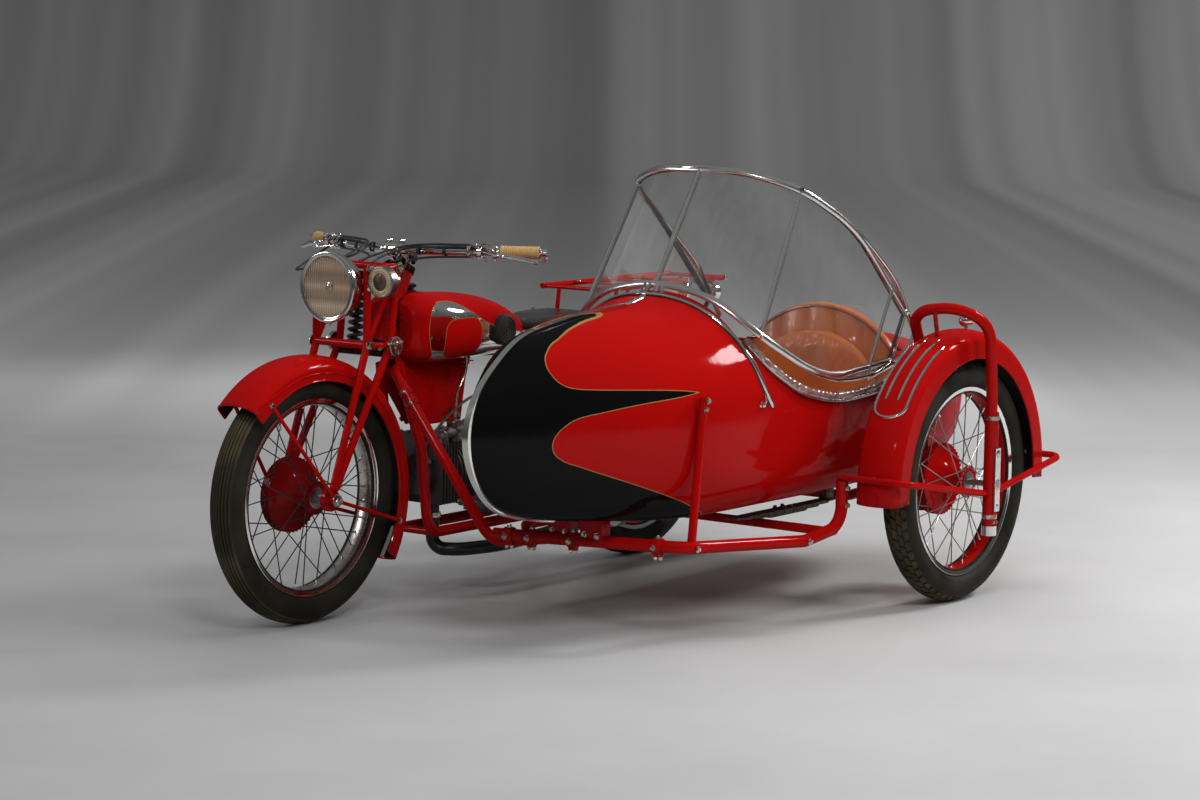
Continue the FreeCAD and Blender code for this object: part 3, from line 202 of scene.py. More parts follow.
def finish(name, colour, rough, metal=0.0, coat=0.0, second=None, tone=(6, 0.35, 0.7),
           rough_range=None, grain=None, specular=0.5, stretch=(1, 1, 1), edge_wear=None,
           coat_rough=0.03):
    """A surface with uneven colour, uneven gloss and a fine grain.
    tone is (scale, low, high) of the second colour's patches, grain (scale, strength, depth),
    edge_wear the colour that shows where edges are rubbed."""
    mat = bpy.data.materials.new(name)
    mat.use_nodes = True
    tree = mat.node_tree
    shader = tree.nodes["Principled BSDF"]
    vector = place(tree, stretch)
    shader.inputs["Metallic"].default_value = metal
    shader.inputs["Roughness"].default_value = rough
    shader.inputs["Specular IOR Level"].default_value = specular
    shader.inputs["Coat Weight"].default_value = coat
    shader.inputs["Coat Roughness"].default_value = coat_rough
    patches = ramp(tree, noise(tree, vector, tone[0]), tone[1], tone[2])
    base = blend_colour(tree, patches, colour, second or colour)
    if edge_wear:
        geometry = tree.nodes.new("ShaderNodeNewGeometry")
        rubbed = ramp(tree, geometry.outputs["Pointiness"], 0.54, 0.60)
        broken = ramp(tree, noise(tree, vector, 90.0, 6.0), 0.45, 0.6)
        base = blend_colour(tree, math_node(tree, "MULTIPLY", rubbed, broken), base, edge_wear)
    tree.links.new(base, shader.inputs["Base Color"])
    if rough_range:
        value = noise(tree, vector, rough_range[0], 6.0, 0.6)
        tree.links.new(spread(tree, value, rough_range[1], rough_range[2]),
                       shader.inputs["Roughness"])
    if grain:
        bump(tree, shader, noise(tree, vector, grain[0], 5.0, 0.6), grain[1], grain[2])
    return mat


def paint(name, colour, darker):
    """Gloss enamel under a clear coat, a little wavy and a little dusty."""
    return finish(name, colour, 0.35, coat=0.20, second=darker, tone=(3.0, 0.30, 0.75),
                  rough_range=(14.0, 0.30, 0.5), grain=(9.0, 0.05, 0.004), specular=0.0,
                  edge_wear=(0.10, 0.012, 0.01), coat_rough=0.06)


red_paint = paint("red_enamel", red, worn_red)
# Painted shade: a darker copy of the red enamel for the front and rear hubs
red_enamel_in_painted_shade = paint("shaded_red_enamel", red_in_painted_shade, (0.12, 0.004, 0.004))
black_paint = paint("black_enamel", black, (0.008, 0.007, 0.007))
chrome = finish("chrome_plate", silver, 0.08, metal=1.0, second=(0.66, 0.65, 0.62),
                tone=(9.0, 0.35, 0.8), rough_range=(22.0, 0.03, 0.18), grain=(140.0, 0.03, 0.0005))
dull_chrome = finish("worn_plate", (0.70, 0.69, 0.66), 0.25, metal=1.0, second=(0.44, 0.42, 0.38),
                     tone=(30.0, 0.4, 0.75), rough_range=(40.0, 0.14, 0.40),
                     grain=(220.0, 0.06, 0.0008), edge_wear=(0.30, 0.20, 0.10))
brushed_plate = finish("brushed_plate", (0.80, 0.79, 0.77), 0.24, metal=1.0,
                       second=(0.66, 0.65, 0.62), tone=(14.0, 0.4, 0.8),
                       rough_range=(60.0, 0.18, 0.30), grain=(400.0, 0.04, 0.0004))
steel_metal = finish("bare_steel", steel, 0.35, metal=1.0, second=(0.22, 0.20, 0.18),
                     tone=(25.0, 0.4, 0.8), rough_range=(50.0, 0.22, 0.5),
                     grain=(300.0, 0.08, 0.0006))
black_steel = finish("blackened_steel", (0.02, 0.02, 0.02), 0.3, metal=0.6,
                     second=(0.05, 0.045, 0.04), tone=(40.0, 0.4, 0.8),
                     rough_range=(60.0, 0.2, 0.5), grain=(300.0, 0.08, 0.0005))
cast_alloy = finish("cast_alloy", alloy, 0.5, metal=0.85, second=(0.06, 0.055, 0.05),
                    tone=(11.0, 0.35, 0.75), rough_range=(60.0, 0.4, 0.65),
                    grain=(420.0, 0.25, 0.0008), edge_wear=(0.5, 0.5, 0.48))
black_iron = finish("black_iron", (0.018, 0.017, 0.016), 0.55, second=(0.045, 0.036, 0.028),
                    tone=(14.0, 0.45, 0.8), rough_range=(50.0, 0.40, 0.7),
                    grain=(380.0, 0.3, 0.0008), edge_wear=(0.12, 0.10, 0.08))
tyre_rubber = finish("tyre_rubber", rubber, 0.7, second=(0.034, 0.030, 0.021),
                     tone=(7.0, 0.38, 0.8), rough_range=(30.0, 0.5, 0.8),
                     grain=(260.0, 0.25, 0.0009), specular=0.12)
dusty_rubber = finish("dusty_tread", (0.026, 0.024, 0.016), 0.75, second=(0.10, 0.078, 0.042),
                      tone=(9.0, 0.40, 0.75), rough_range=(30.0, 0.55, 0.85),
                      grain=(200.0, 0.35, 0.0010), specular=0.12)
black_rubber = finish("black_rubber", (0.012, 0.012, 0.012), 0.55, second=(0.03, 0.03, 0.028),
                      tone=(20.0, 0.4, 0.8), rough_range=(40.0, 0.42, 0.7),
                      grain=(350.0, 0.2, 0.0006))
grip_rubber = finish("tan_rubber", tan, 0.5, second=(0.30, 0.16, 0.05), tone=(16.0, 0.42, 0.75),
                     rough_range=(30.0, 0.4, 0.62), grain=(300.0, 0.2, 0.0006),
                     edge_wear=(0.60, 0.42, 0.20))
saddle_leather = finish("black_leather", (0.010, 0.010, 0.010), 0.30, second=(0.03, 0.026, 0.023),
                        tone=(12.0, 0.4, 0.8), rough_range=(26.0, 0.20, 0.42), coat=0.5,
                        grain=(240.0, 0.35, 0.0010), edge_wear=(0.08, 0.06, 0.045))
seat_leather = finish("brown_leather", brown_leather, 0.30, coat=0.25, second=(0.11, 0.018, 0.008),
                      tone=(4.0, 0.35, 0.8), rough_range=(18.0, 0.16, 0.36),
                      grain=(190.0, 0.22, 0.0010), edge_wear=(0.34, 0.12, 0.06))
tan_leather = finish("tan_leather", (0.60, 0.165, 0.036), 0.30, coat=0.3,
                     second=(0.34, 0.085, 0.026), tone=(3.5, 0.35, 0.8),
                     rough_range=(18.0, 0.2, 0.42), grain=(190.0, 0.22, 0.0010),
                     edge_wear=(0.45, 0.22, 0.11), specular=0.3)
roll_leather = finish("aged_roll_leather", (0.42, 0.27, 0.25), 0.2, metal=0.55, coat=0.5,
                      second=(0.14, 0.045, 0.035), tone=(22.0, 0.42, 0.70),
                      rough_range=(35.0, 0.10, 0.34), grain=(120.0, 0.5, 0.0014))
ivory = finish("aged_ivory", (0.52, 0.40, 0.24), 0.35, coat=0.3, second=(0.30, 0.20, 0.10),
               tone=(40.0, 0.4, 0.75), rough_range=(60.0, 0.25, 0.5), grain=(300.0, 0.15, 0.0005))
bronze_mesh = finish("horn_grille", (0.16, 0.12, 0.09), 0.4, metal=0.7, second=(0.05, 0.04, 0.03),
                     tone=(60.0, 0.4, 0.7), rough_range=(80.0, 0.3, 0.6),
                     grain=(500.0, 0.4, 0.0006))
ruby = finish("ruby_glass", (0.30, 0.004, 0.006), 0.12, coat=0.8, second=(0.18, 0.003, 0.004),
              tone=(50.0, 0.4, 0.7), rough_range=(60.0, 0.06, 0.2), grain=(120.0, 0.2, 0.0008))


def clear_sheet(name, tint, flutes=0.0, density=0.05, haze=0.0):
    """Clear sheet that light passes straight through, with scratches, and flutes in a lens."""
    mat = bpy.data.materials.new(name)
    mat.use_nodes = True
    tree = mat.node_tree
    tree.nodes.remove(tree.nodes["Principled BSDF"])
    out = tree.nodes["Material Output"]
    vector = place(tree, (1, 1, 0.35))
    clear = node(tree, "ShaderNodeBsdfTransparent", Color=(*tint, 1))
    gloss = node(tree, "ShaderNodeBsdfGlossy", Color=(1, 1, 1, 1))
    marks = ramp(tree, noise(tree, vector, 40.0, 8.0, 0.7), 0.45, 0.8)
    tree.links.new(spread(tree, marks, 0.02, 0.22), gloss.inputs["Roughness"])
    facing = node(tree, "ShaderNodeLayerWeight", Blend=0.5)
    power = math_node(tree, "POWER", facing.outputs["Facing"], 4.0)
    share = math_node(tree, "ADD", math_node(tree, "MULTIPLY", power, 0.55), density)
    if flutes:
        coords = tree.nodes.new("ShaderNodeTexCoord")
        wave = node(tree, "ShaderNodeTexWave", Scale=flutes, bands_direction="Y",
                    wave_profile="SIN")
        tree.links.new(coords.outputs["Object"], wave.inputs["Vector"])
        height = node(tree, "ShaderNodeBump", Strength=0.9, Distance=0.002)
        tree.links.new(wave.outputs["Fac"], height.inputs["Height"])
        tree.links.new(height.outputs["Normal"], gloss.inputs["Normal"])
    mix = tree.nodes.new("ShaderNodeMixShader")
    tree.links.new(share, mix.inputs[0])
    tree.links.new(clear.outputs[0], mix.inputs[1])
    tree.links.new(gloss.outputs[0], mix.inputs[2])
    if haze:
        milk = node(tree, "ShaderNodeBsdfDiffuse", Color=(0.85, 0.86, 0.86, 1))
        veil = tree.nodes.new("ShaderNodeMixShader")
        tree.links.new(spread(tree, marks, haze * 0.5, haze * 1.8), veil.inputs[0])
        tree.links.new(mix.outputs[0], veil.inputs[1])
        tree.links.new(milk.outputs[0], veil.inputs[2])
        mix = veil
    tree.links.new(mix.outputs[0], out.inputs["Surface"])
    return mat


# Painted reflections on the lamp's reflector: where its colour is painted bright and dark in bands,
# from the bottom up
lamp_painted_bands = ((0.10, 0.55), (0.20, 0.95), (0.31, 0.30), (0.42, 0.55), (0.50, 1.0), (0.57, 0.50),
              (0.70, 0.32), (0.82, 0.75), (0.92, 0.50))


def reflector_with_painted_bands():
    """A warm reflector whose colour holds painted reflections: bright and dark bands by height,
    broken into upright stripes as the fluted glass in front of it would throw them.
    """
    mat = finish("lamp_reflector_painted_light", (1.0, 0.86, 0.72), 0.3, metal=0.3, second=(0.85, 0.66, 0.50),
                 tone=(9.0, 0.35, 0.75), rough_range=(30.0, 0.16, 0.32))
    tree = mat.node_tree
    shader = tree.nodes["Principled BSDF"]
    wave = node(tree, "ShaderNodeTexWave", Scale=52.0, bands_direction="Y", wave_profile="SIN",
                Distortion=0.6)
    tree.links.new(place(tree), wave.inputs["Vector"])
    source = shader.inputs["Base Color"].links[0].from_socket
    low = math_node(tree, "SUBTRACT", apart(tree)[2], lamp_height / 1000 - lamp_radius)
    painted_glow = ramp(tree, math_node(tree, "DIVIDE", low, 2 * lamp_radius), 0.0, 1.0)
    bands = painted_glow.node.color_ramp
    for spot, level in lamp_painted_bands:
        bands.elements.new(spot).color = (level, level, level, 1)
    bands.elements[0].color = bands.elements[-1].color = (0.35, 0.35, 0.35, 1)
    # Painted light: the colour goes dark between the upright stripes and between the bright bands
    flutes = math_node(tree, "MULTIPLY", spread(tree, wave.outputs["Fac"], 0.55, 1.0), painted_glow)
    dark = blend_colour(tree, flutes, (0.20, 0.135, 0.10), source)
    tree.links.new(dark, shader.inputs["Base Color"])
    bump(tree, shader, wave.outputs["Fac"], 0.55, 0.003)
    return mat


reflector = reflector_with_painted_bands()
screen_sheet = clear_sheet("clear_screen", (0.955, 0.96, 0.955), haze=0.018)
lens_glass = clear_sheet("fluted_lens", (0.97, 0.93, 0.88), flutes=52.0, density=0.10)


# The edge between black and red on the sidecar, x and z, from the crest down
flame_points = [
    (0.95, 0.828), (1.055, 0.813), (1.169, 0.798), (1.273, 0.772), (1.330, 0.747), (1.356, 0.716),
    (1.352, 0.684), (1.336, 0.665), (1.310, 0.656), (1.255, 0.651), (1.150, 0.6455),
    (1.040, 0.638), (0.980, 0.630), (1.046, 0.622), (1.163, 0.611), (1.266, 0.595),
    (1.318, 0.584), (1.346, 0.568), (1.366, 0.548), (1.375, 0.526), (1.371, 0.503),
    (1.352, 0.484), (1.310, 0.466), (1.150, 0.407), (1.019, 0.360), (0.955, 0.335),
    (0.80, 0.280),
]
flame_notch = 12


def offset_line(points, distance, notch=-1):
    """The line moved sideways, towards the nose for a positive distance."""
    moved = []
    for i, (x, z) in enumerate(points):
        ax, az = points[max(i - 1, 0)]
        bx, bz = points[min(i + 1, len(points) - 1)]
        if i == notch:
            moved.append((x + distance * 6.0, z))
            continue
        dx, dz = bx - ax, bz - az
        length = math.hypot(dx, dz)
        moved.append((x - dz / length * distance, z + dx / length * distance))
    return moved


def behind_line(tree, z_value, x_value, points, sharp=()):
    """1 where x is behind the line x(z), given from the top down."""
    high_z, low_z = points[0][1], points[-1][1]
    low_x = min(x for x, z in points) - 0.01
    high_x = max(x for x, z in points) + 0.01
    curve = tree.nodes.new("ShaderNodeFloatCurve")
    spots = curve.mapping.curves[0].points
    last = len(points) - 1
    for i, (x, z) in enumerate(reversed(points)):
        u = (z - low_z) / (high_z - low_z)
        v = (x - low_x) / (high_x - low_x)
        if i == 0 or i == last:
            made = spots[0 if i == 0 else -1]
            made.location = (u, v)
        else:
            made = spots.new(u, v)
        made.handle_type = "VECTOR" if last - i in sharp else "AUTO"
    curve.mapping.update()
    tree.links.new(spread(tree, z_value, 0.0, 1.0, low_z, high_z), curve.inputs["Value"])
    limit = spread(tree, curve.outputs["Value"], low_x, high_x)
    return math_node(tree, "LESS_THAN", x_value, limit)


def side_place(tree):
    """x from the rear axle and z, in metres."""
    x_value, y_value, z_value = apart(tree)
    return math_node(tree, "SUBTRACT", x_value, origin.x), z_value


def flame_paint():
    """Red behind, black at the nose, with a gold line between."""
    mat = paint("flame_enamel", red, worn_red)
    tree = mat.node_tree
    shader = tree.nodes["Principled BSDF"]
    red_source = shader.inputs["Base Color"].links[0].from_socket
    x_value, z_value = side_place(tree)
    masks = [behind_line(tree, z_value, x_value, offset_line(flame_points, d, flame_notch),
                         (flame_notch,)) for d in (-0.0010, 0.0010)]
    outer = blend_colour(tree, masks[1], black, gold)
    drawn = blend_colour(tree, masks[0], outer, red_source)
    # The inside of the shell faces its own middle line, and is plain red
    coords = tree.nodes.new("ShaderNodeTexCoord")
    spoke = node(tree, "ShaderNodeVectorMath", operation="SUBTRACT")
    tree.links.new(coords.outputs["Object"], spoke.inputs[0])
    spoke.inputs[1].default_value = (0, origin.y + body_y, body_z)
    flat = node(tree, "ShaderNodeVectorMath", operation="MULTIPLY")
    tree.links.new(spoke.outputs["Vector"], flat.inputs[0])
    flat.inputs[1].default_value = (0, 1, 1)
    facing = node(tree, "ShaderNodeVectorMath", operation="DOT_PRODUCT")
    tree.links.new(flat.outputs["Vector"], facing.inputs[0])
    tree.links.new(coords.outputs["Normal"], facing.inputs[1])
    inside = math_node(tree, "LESS_THAN", facing.outputs["Value"], 0.0)
    colour = blend_colour(tree, inside, drawn, red_source)
    tree.links.new(colour, shader.inputs["Base Color"])
    return mat


# The tank's plated side: its front edge from the top down, its upper edge, and its red panel
plate_front = [(1.020, 0.812), (1.030, 0.803), (1.054, 0.781), (1.062, 0.748), (1.061, 0.709),
               (1.043, 0.667), (1.020, 0.640)]
plate_top = [(0.60, 0.690), (0.70, 0.708), (0.78, 0.722), (0.833, 0.737), (0.882, 0.757),
             (0.920, 0.778), (0.949, 0.794), (0.974, 0.803), (1.001, 0.806), (1.070, 0.800)]
panel_middle = (0.945, 0.706)
panel_half = (0.072, 0.054)


def tank_paint():
    """Red enamel with a plated side that holds a plain red panel with a gold line."""
    mat = paint("tank_enamel", red, worn_red)
    tree = mat.node_tree
    shader = tree.nodes["Principled BSDF"]
    red_source = shader.inputs["Base Color"].links[0].from_socket
    x_value, z_value = side_place(tree)
    swapped = [(z, x) for x, z in reversed(plate_top)]

    def plated(shift):
        front = behind_line(tree, z_value, x_value, offset_line(plate_front, shift))
        under = behind_line(tree, x_value, z_value, [(z + shift, x) for z, x in swapped])
        return math_node(tree, "MULTIPLY", front, under)

    def panel(grow):
        parts = []
        for value, centre, half in zip((x_value, z_value), panel_middle, panel_half):
            share = math_node(tree, "DIVIDE", math_node(tree, "SUBTRACT", value, centre),
                              half + grow)
            parts.append(math_node(tree, "POWER", math_node(tree, "ABSOLUTE", share), 3.4))
        return math_node(tree, "LESS_THAN", math_node(tree, "ADD", *parts), 1.0)

    shine = plated(-0.0006)
    line = plated(0.0006)
    inner, edge = panel(-0.0006), panel(0.0006)
    colour = blend_colour(tree, line, red_source, gold)
    colour = blend_colour(tree, shine, colour, (0.72, 0.72, 0.71))
    colour = blend_colour(tree, edge, colour, gold)
    colour = blend_colour(tree, inner, colour, red_source)
    metal = math_node(tree, "SUBTRACT", shine, edge)
    tree.links.new(colour, shader.inputs["Base Color"])
    tree.links.new(math_node(tree, "MAXIMUM", metal, 0.0), shader.inputs["Metallic"])
    rough = shader.inputs["Roughness"].links[0].from_socket
    plated_rough = math_node(tree, "SUBTRACT", 1.0, math_node(tree, "MULTIPLY", shine, 0.8))
    tree.links.new(math_node(tree, "MULTIPLY", rough, plated_rough), shader.inputs["Roughness"])
    return mat


def assign(mat, *names):
    """Give CAD nodes a material."""
    for name in names:
        nodes[name].data.materials.clear()
        nodes[name].data.materials.append(mat)


assign(flame_paint(), "sidecar_body")
assign(tank_paint(), "fuel_tank")
assign(red_paint, "frame", "girder_fork", "front_mudguard", "rear_mudguard", "sidecar_mudguard",
       "luggage_rack", "sidecar_chassis", "wheel_strut")
assign(black_paint, "fork_links", "fork_spring", "leaf_springs", "magneto", "chain_guard",
       "seat_box", "filler_cap")
assign(chrome, "handlebar", "headlamp", "nose_strip", "windscreen_frame", "rear_lamps",
       "silencer", "guard_lamp")
assign(brushed_plate, "strut_fittings")
assign(black_steel, "exhaust_pipe")
assign(steel_metal, "front_axle", "rear_axle", "sidecar_axle", "saddle_springs", "drive_chain",
       "flywheel", "front_wheel", "rear_wheel", "sidecar_wheel", "horn")
assign(cast_alloy, "crankcase", "carburettor")
assign(black_iron, "cylinder", "cylinder_head")
assign(tyre_rubber, "front_tyre", "rear_tyre", "sidecar_tyre")
assign(black_rubber, "knee_pads", "footrests")
assign(grip_rubber, "grips")
assign(saddle_leather, "saddle")
assign(tan_leather, "seat_back", "seat_cushion")
assign(roll_leather, "cockpit_roll")
assign(screen_sheet, "windscreen_glass")
assign(lens_glass, "headlamp_lens")


def spin_frame(axis):
    """Two directions square to an axis; for a wheel's axis they are forward and up."""
    axis = axis.normalized()
    first = X if abs(axis.dot(X)) < 0.9 else Z
    u = (first - axis * first.dot(axis)).normalized()
    v = u.cross(axis) if axis.dot(Y) > 0.9 else axis.cross(u)
    return u, v.normalized(), axis


def smoothed(points, steps=8, closed=False):
    """A soft line through the points."""
    count = len(points)
    line = []
    runs = count if closed else count - 1
    for i in range(runs):
        if closed:
            a, b, c, d = (points[(i + k) % count] for k in (-1, 0, 1, 2))
        else:
            b, c = points[i], points[i + 1]
            a = points[i - 1] if i else b * 2 - c
            d = points[i + 2] if i + 2 < count else c * 2 - b
        for k in range(steps):
            t = k / steps
            line.append(0.5 * (b * 2 + (c - a) * t + (a * 2 - b * 5 + c * 4 - d) * t * t
                               + (b * 3 - a - c * 3 + d) * t ** 3))
    if not closed:
        line.append(points[-1])
    return line


class Shape:
    """Meshes gathered into one piece."""

    def __init__(self):
        self.mesh = bmesh.new()
        self.slot = 0

    def face(self, corners, slot=None):
        made = self.mesh.faces.new(corners)
        made.material_index = self.slot if slot is None else slot
        return made

    def grid(self, rows, around=False, along=False, slots=None):
        """Quads over rows of points. around closes each row, along closes the run of rows."""
        made = [[self.mesh.verts.new(p) for p in row] for row in rows]
        count = len(rows[0])
        if along:
            made.append(made[0])
        for a, b in zip(made, made[1:]):
            for i in range(count if around else count - 1):
                j = (i + 1) % count
                self.face((a[i], a[j], b[j], b[i]), slots[i] if slots else None)
        return made

    def solid(self, rows):
        """Quads over closed rows, with both ends shut."""
        made = self.grid(rows, around=True)
        self.face(list(reversed(made[0])))
        self.face(made[-1])

    def lathe(self, profile, centre, axis, steps=48, loop=False, slots=None):
        """A profile of (radius, along) turned about an axis."""
        u, v, w = spin_frame(axis)
        rows = []
        for turn in rounds(steps):
            ray = u * math.cos(turn) + v * math.sin(turn)
            rows.append([centre + ray * r + w * y for r, y in profile])
        return self.grid(rows, around=loop, along=True, slots=slots)

    def rod(self, a, b, radius, steps=12):
        """A round bar with chamfered ends."""
        length = (b - a).length
        edge = min(radius, length) * 0.15
        profile = [(0, 0), (radius - edge, 0), (radius, edge), (radius, length - edge),
                   (radius - edge, length), (0, length)]
        self.lathe(profile, a, b - a, steps)

    def tube(self, points, radius, steps=10, closed=False, squash=1.0):
        """A tube along points; radius may be one number or one for each point."""
        count = len(points)
        radii = radius if isinstance(radius, list) else [radius] * count
        tangents = []
        for i in range(count):
            if closed:
                step = points[(i + 1) % count] - points[i - 1]
            else:
                step = points[min(i + 1, count - 1)] - points[max(i - 1, 0)]
            tangents.append(step.normalized())
        normal = tangents[0].orthogonal().normalized()
        rows = []
        for i in range(count):
            normal = (normal - tangents[i] * normal.dot(tangents[i])).normalized()
            side = tangents[i].cross(normal)
            rows.append([points[i] + (normal * math.cos(a) + side * math.sin(a) * squash) * radii[i]
                         for a in rounds(steps)])
        if closed:
            self.grid(rows, around=True, along=True)
        else:
            self.solid(rows)

    def strip(self, points, normals, width, height, steps=6):
        """A half-round moulding that lies on a surface."""
        rows = []
        count = len(points)
        for i in range(count):
            along = (points[min(i + 1, count - 1)] - points[max(i - 1, 0)]).normalized()
            n = normals[i]
            side = along.cross(n).normalized()
            swell = 0.55 if i in (0, count - 1) else 1.0
            rows.append([points[i] + side * math.cos(a) * width / 2 * swell
                         + n * math.sin(a) * height * swell
                         for a in (math.pi * k / steps for k in range(steps + 1))])
        self.solid(rows)

    def box(self, centre, size, turn=None, edge=0.0):
        """A block with eased edges, turned by a matrix."""
        hx, hy, hz = (s / 2 for s in size)
        edge = edge or min(size) * 0.12
        turn = turn or Matrix.Identity(3)
        rows = []
        for z, inset in ((-hz, edge), (-hz + edge, 0), (hz - edge, 0), (hz, edge)):
            x, y, e = hx - inset, hy - inset, edge
            outline = [(x - e, -y), (x, -y + e), (x, y - e), (x - e, y), (-x + e, y), (-x, y - e),
                       (-x, -y + e), (-x + e, -y)]
            rows.append([centre + turn @ Vector((px, py, z)) for px, py in outline])
        self.solid(rows)

    def bolt(self, foot, axis, size=0.006, height=0.006):
        """A hexagon head on a washer."""
        axis = axis.normalized()
        washer = size * 1.35
        self.lathe([(0, 0), (washer, 0), (washer, 0.0012), (0, 0.0012)], foot, axis, 20)
        self.lathe([(0, 0), (size, 0), (size, height * 0.8), (size * 0.85, height), (0, height)],
                   foot + axis * 0.001, axis, 6)

    def done(self, name, mats, body, replaces=(), angle=38.0, subdivide=0):
        """The finished object on its body."""
        bmesh.ops.remove_doubles(self.mesh, verts=self.mesh.verts, dist=1e-6)
        bmesh.ops.dissolve_degenerate(self.mesh, edges=self.mesh.edges, dist=1e-7)
        bmesh.ops.recalc_face_normals(self.mesh, faces=self.mesh.faces)
        data = bpy.data.meshes.new(name)
        self.mesh.to_mesh(data)
        self.mesh.free()
        data.polygons.foreach_set("use_smooth", [True] * len(data.polygons))
        data.set_sharp_from_angle(angle=math.radians(angle))
        for mat in mats if isinstance(mats, (list, tuple)) else [mats]:
            data.materials.append(mat)
        made = bpy.data.objects.new(name, data)
        bpy.context.scene.collection.objects.link(made)
        if subdivide:
            smooth = made.modifiers.new("smooth", "SUBSURF")
            smooth.levels = smooth.render_levels = subdivide
        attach(made, body)
        if replaces:
            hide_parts(*replaces)
        return made


# Wheels
tyre_radius = wheel_height
tyre_half = 0.045
rim_inside = 0.235
spoke_count = 36
# The radius that the tread's lugs point away from
crown_middle = 0.28


def arc_through(a, b, c, steps):
    """Points on the circle through three points, in a plane."""
    ax, ay, bx, by, cx, cy = *a, *b, *c
    d = 2 * (ax * (by - cy) + bx * (cy - ay) + cx * (ay - by))
    ux = ((ax * ax + ay * ay) * (by - cy) + (bx * bx + by * by) * (cy - ay)
          + (cx * cx + cy * cy) * (ay - by)) / d
    uy = ((ax * ax + ay * ay) * (cx - bx) + (bx * bx + by * by) * (ax - cx)
          + (cx * cx + cy * cy) * (bx - ax)) / d
    start, mid, end = (math.atan2(p[1] - uy, p[0] - ux) for p in (a, b, c))
    span = (end - start) % (2 * math.pi)
    if (mid - start) % (2 * math.pi) > span:
        span -= 2 * math.pi
    radius = math.hypot(ax - ux, ay - uy)
    return [(ux + radius * math.cos(start + span * i / steps),
             uy + radius * math.sin(start + span * i / steps)) for i in range(steps + 1)]


def tyre_lines(ribs):
    """The closed section of a tyre as (radius, across), with grooves between its ribs."""
    lip, bead, foot = 0.2573, 0.0277, 0.2383
    wide, shoulder = 0.2855, 0.311
    wall = arc_through((lip, bead), (wide, tyre_half), (shoulder, tyre_half * 0.78), 12)
    for i, lift in ((2, 0.0008), (3, 0.0008), (9, -0.0006)):
        wall[i] = (wall[i][0], wall[i][1] + lift * 0.5)
    crown = arc_through((shoulder, tyre_half * 0.78), (tyre_radius, 0),
                        (shoulder, -tyre_half * 0.78), 120)
    if ribs:
        cut = []
        for i, (r, y) in enumerate(crown):
            place_in = (i / 120 * ribs) % 1.0
            inner = i not in range(5) and i not in range(116, 121)
            if inner and (place_in < 0.16 or place_in > 0.84):
                depth = 0.0042
                length = math.hypot(r - crown_middle, y)
                cut.append((r - (r - crown_middle) / length * depth, y - y / length * depth))
            else:
                cut.append((r, y))
        crown = cut
    else:
        crown = [(r - 0.0055, y * 0.93) for r, y in crown[::10]]
    other = [(r, -y) for r, y in reversed(wall)]
    return [(foot, bead)] + wall + crown[1:-1] + other + [(foot, -bead)]


def make_tyre(name, centre, body, ribs):
    """A tyre: ribbed in front, with blocks and shoulder bars on the others."""
    shape = Shape()
    profile = tyre_lines(ribs)
    slots = []
    for (r0, y0), (r1, y1) in zip(profile, profile[1:] + profile[:1]):
        slots.append(1 if (r0 + r1) / 2 > 0.3105 else 0)
    shape.lathe([(r - 0.0001, y) for r, y in profile], centre, Y, 128, loop=True, slots=slots)
    if not ribs:
        pitches = 62
        shape.slot = 1
        crown = arc_through((0.311, tyre_half * 0.78), (tyre_radius, 0), (0.311, -tyre_half * 0.78),
                            40)

        def on_crown(t, lift):
            spot = (t + 1) / 2 * 40
            i = min(max(int(spot), 0), 39)
            share = spot - i
            r = crown[i][0] * (1 - share) + crown[i + 1][0] * share
            y = crown[i][1] * (1 - share) + crown[i + 1][1] * share
            length = math.hypot(r - crown_middle, y)
            return r + (r - crown_middle) / length * lift, y + y / length * lift

        def block(t0, t1, a0, a1, skew=0.0, low=-0.007, inset=0.05):
            corners = []
            for lift, shrink in ((low, 0.0), (-0.0010, 0.0), (0.0, inset)):
                ring = []
                for t, a, shift in ((t0, a0, 0), (t1, a0, skew), (t1, a1, skew), (t0, a1, 0)):
                    tt = t + (t0 + t1 - 2 * t) / 2 * shrink * 2
                    aa = a + (a0 + a1 - 2 * a) / 2 * shrink * 2 + shift
                    r, y = on_crown(tt, lift)
                    ring.append(centre + X * (r * math.cos(aa)) + Y * y + Z * (r * math.sin(aa)))
                corners.append(ring)
            made = shape.grid(corners, around=True)
            shape.face(made[-1])

        step = 2 * math.pi / pitches
        for i in range(pitches):
            base = i * step
            block(-0.20, 0.20, base, base + step * 0.80, skew=step * 0.25)
            block(-0.56, -0.25, base + step * 0.4, base + step * 1.2, skew=step * 0.25)
            block(0.25, 0.56, base + step * 0.6, base + step * 1.4, skew=step * 0.25)
            block(-0.98, -0.61, base, base + step * 0.72, low=-0.009)
            block(0.61, 0.98, base, base + step * 0.72, low=-0.009)
    return shape.done(name, [tyre_rubber, dusty_rubber], body, (name.replace("_dressed", ""),),
                      angle=30)


make_tyre("front_tyre_dressed", front_axle, "front_roller", 9)
make_tyre("rear_tyre_dressed", rear_axle, "rear_roller", 0)
make_tyre("sidecar_tyre_dressed", side_axle, "sidecar_roller", 0)


def rim_lines():
    """The closed section of a drop-centre rim as (radius, across)."""
    outer = [(0.2553, 0.0293), (0.2555, 0.0280), (0.2505, 0.0265), (0.2440, 0.0245),
             (0.2405, 0.0160), (0.2382, 0.0100)]
    inner = [(0.2540, 0.0308), (0.2512, 0.0304), (0.2470, 0.0285), (0.2425, 0.0275),
             (0.2405, 0.0250),
             (0.2375, 0.0180), (rim_inside, 0.0110), (rim_inside, 0.0)]
    top = outer + [(r, -y) for r, y in reversed(outer)]
    low = [(r, -y) for r, y in inner] + [(r, y) for r, y in reversed(inner[:-1])]
    return top + low


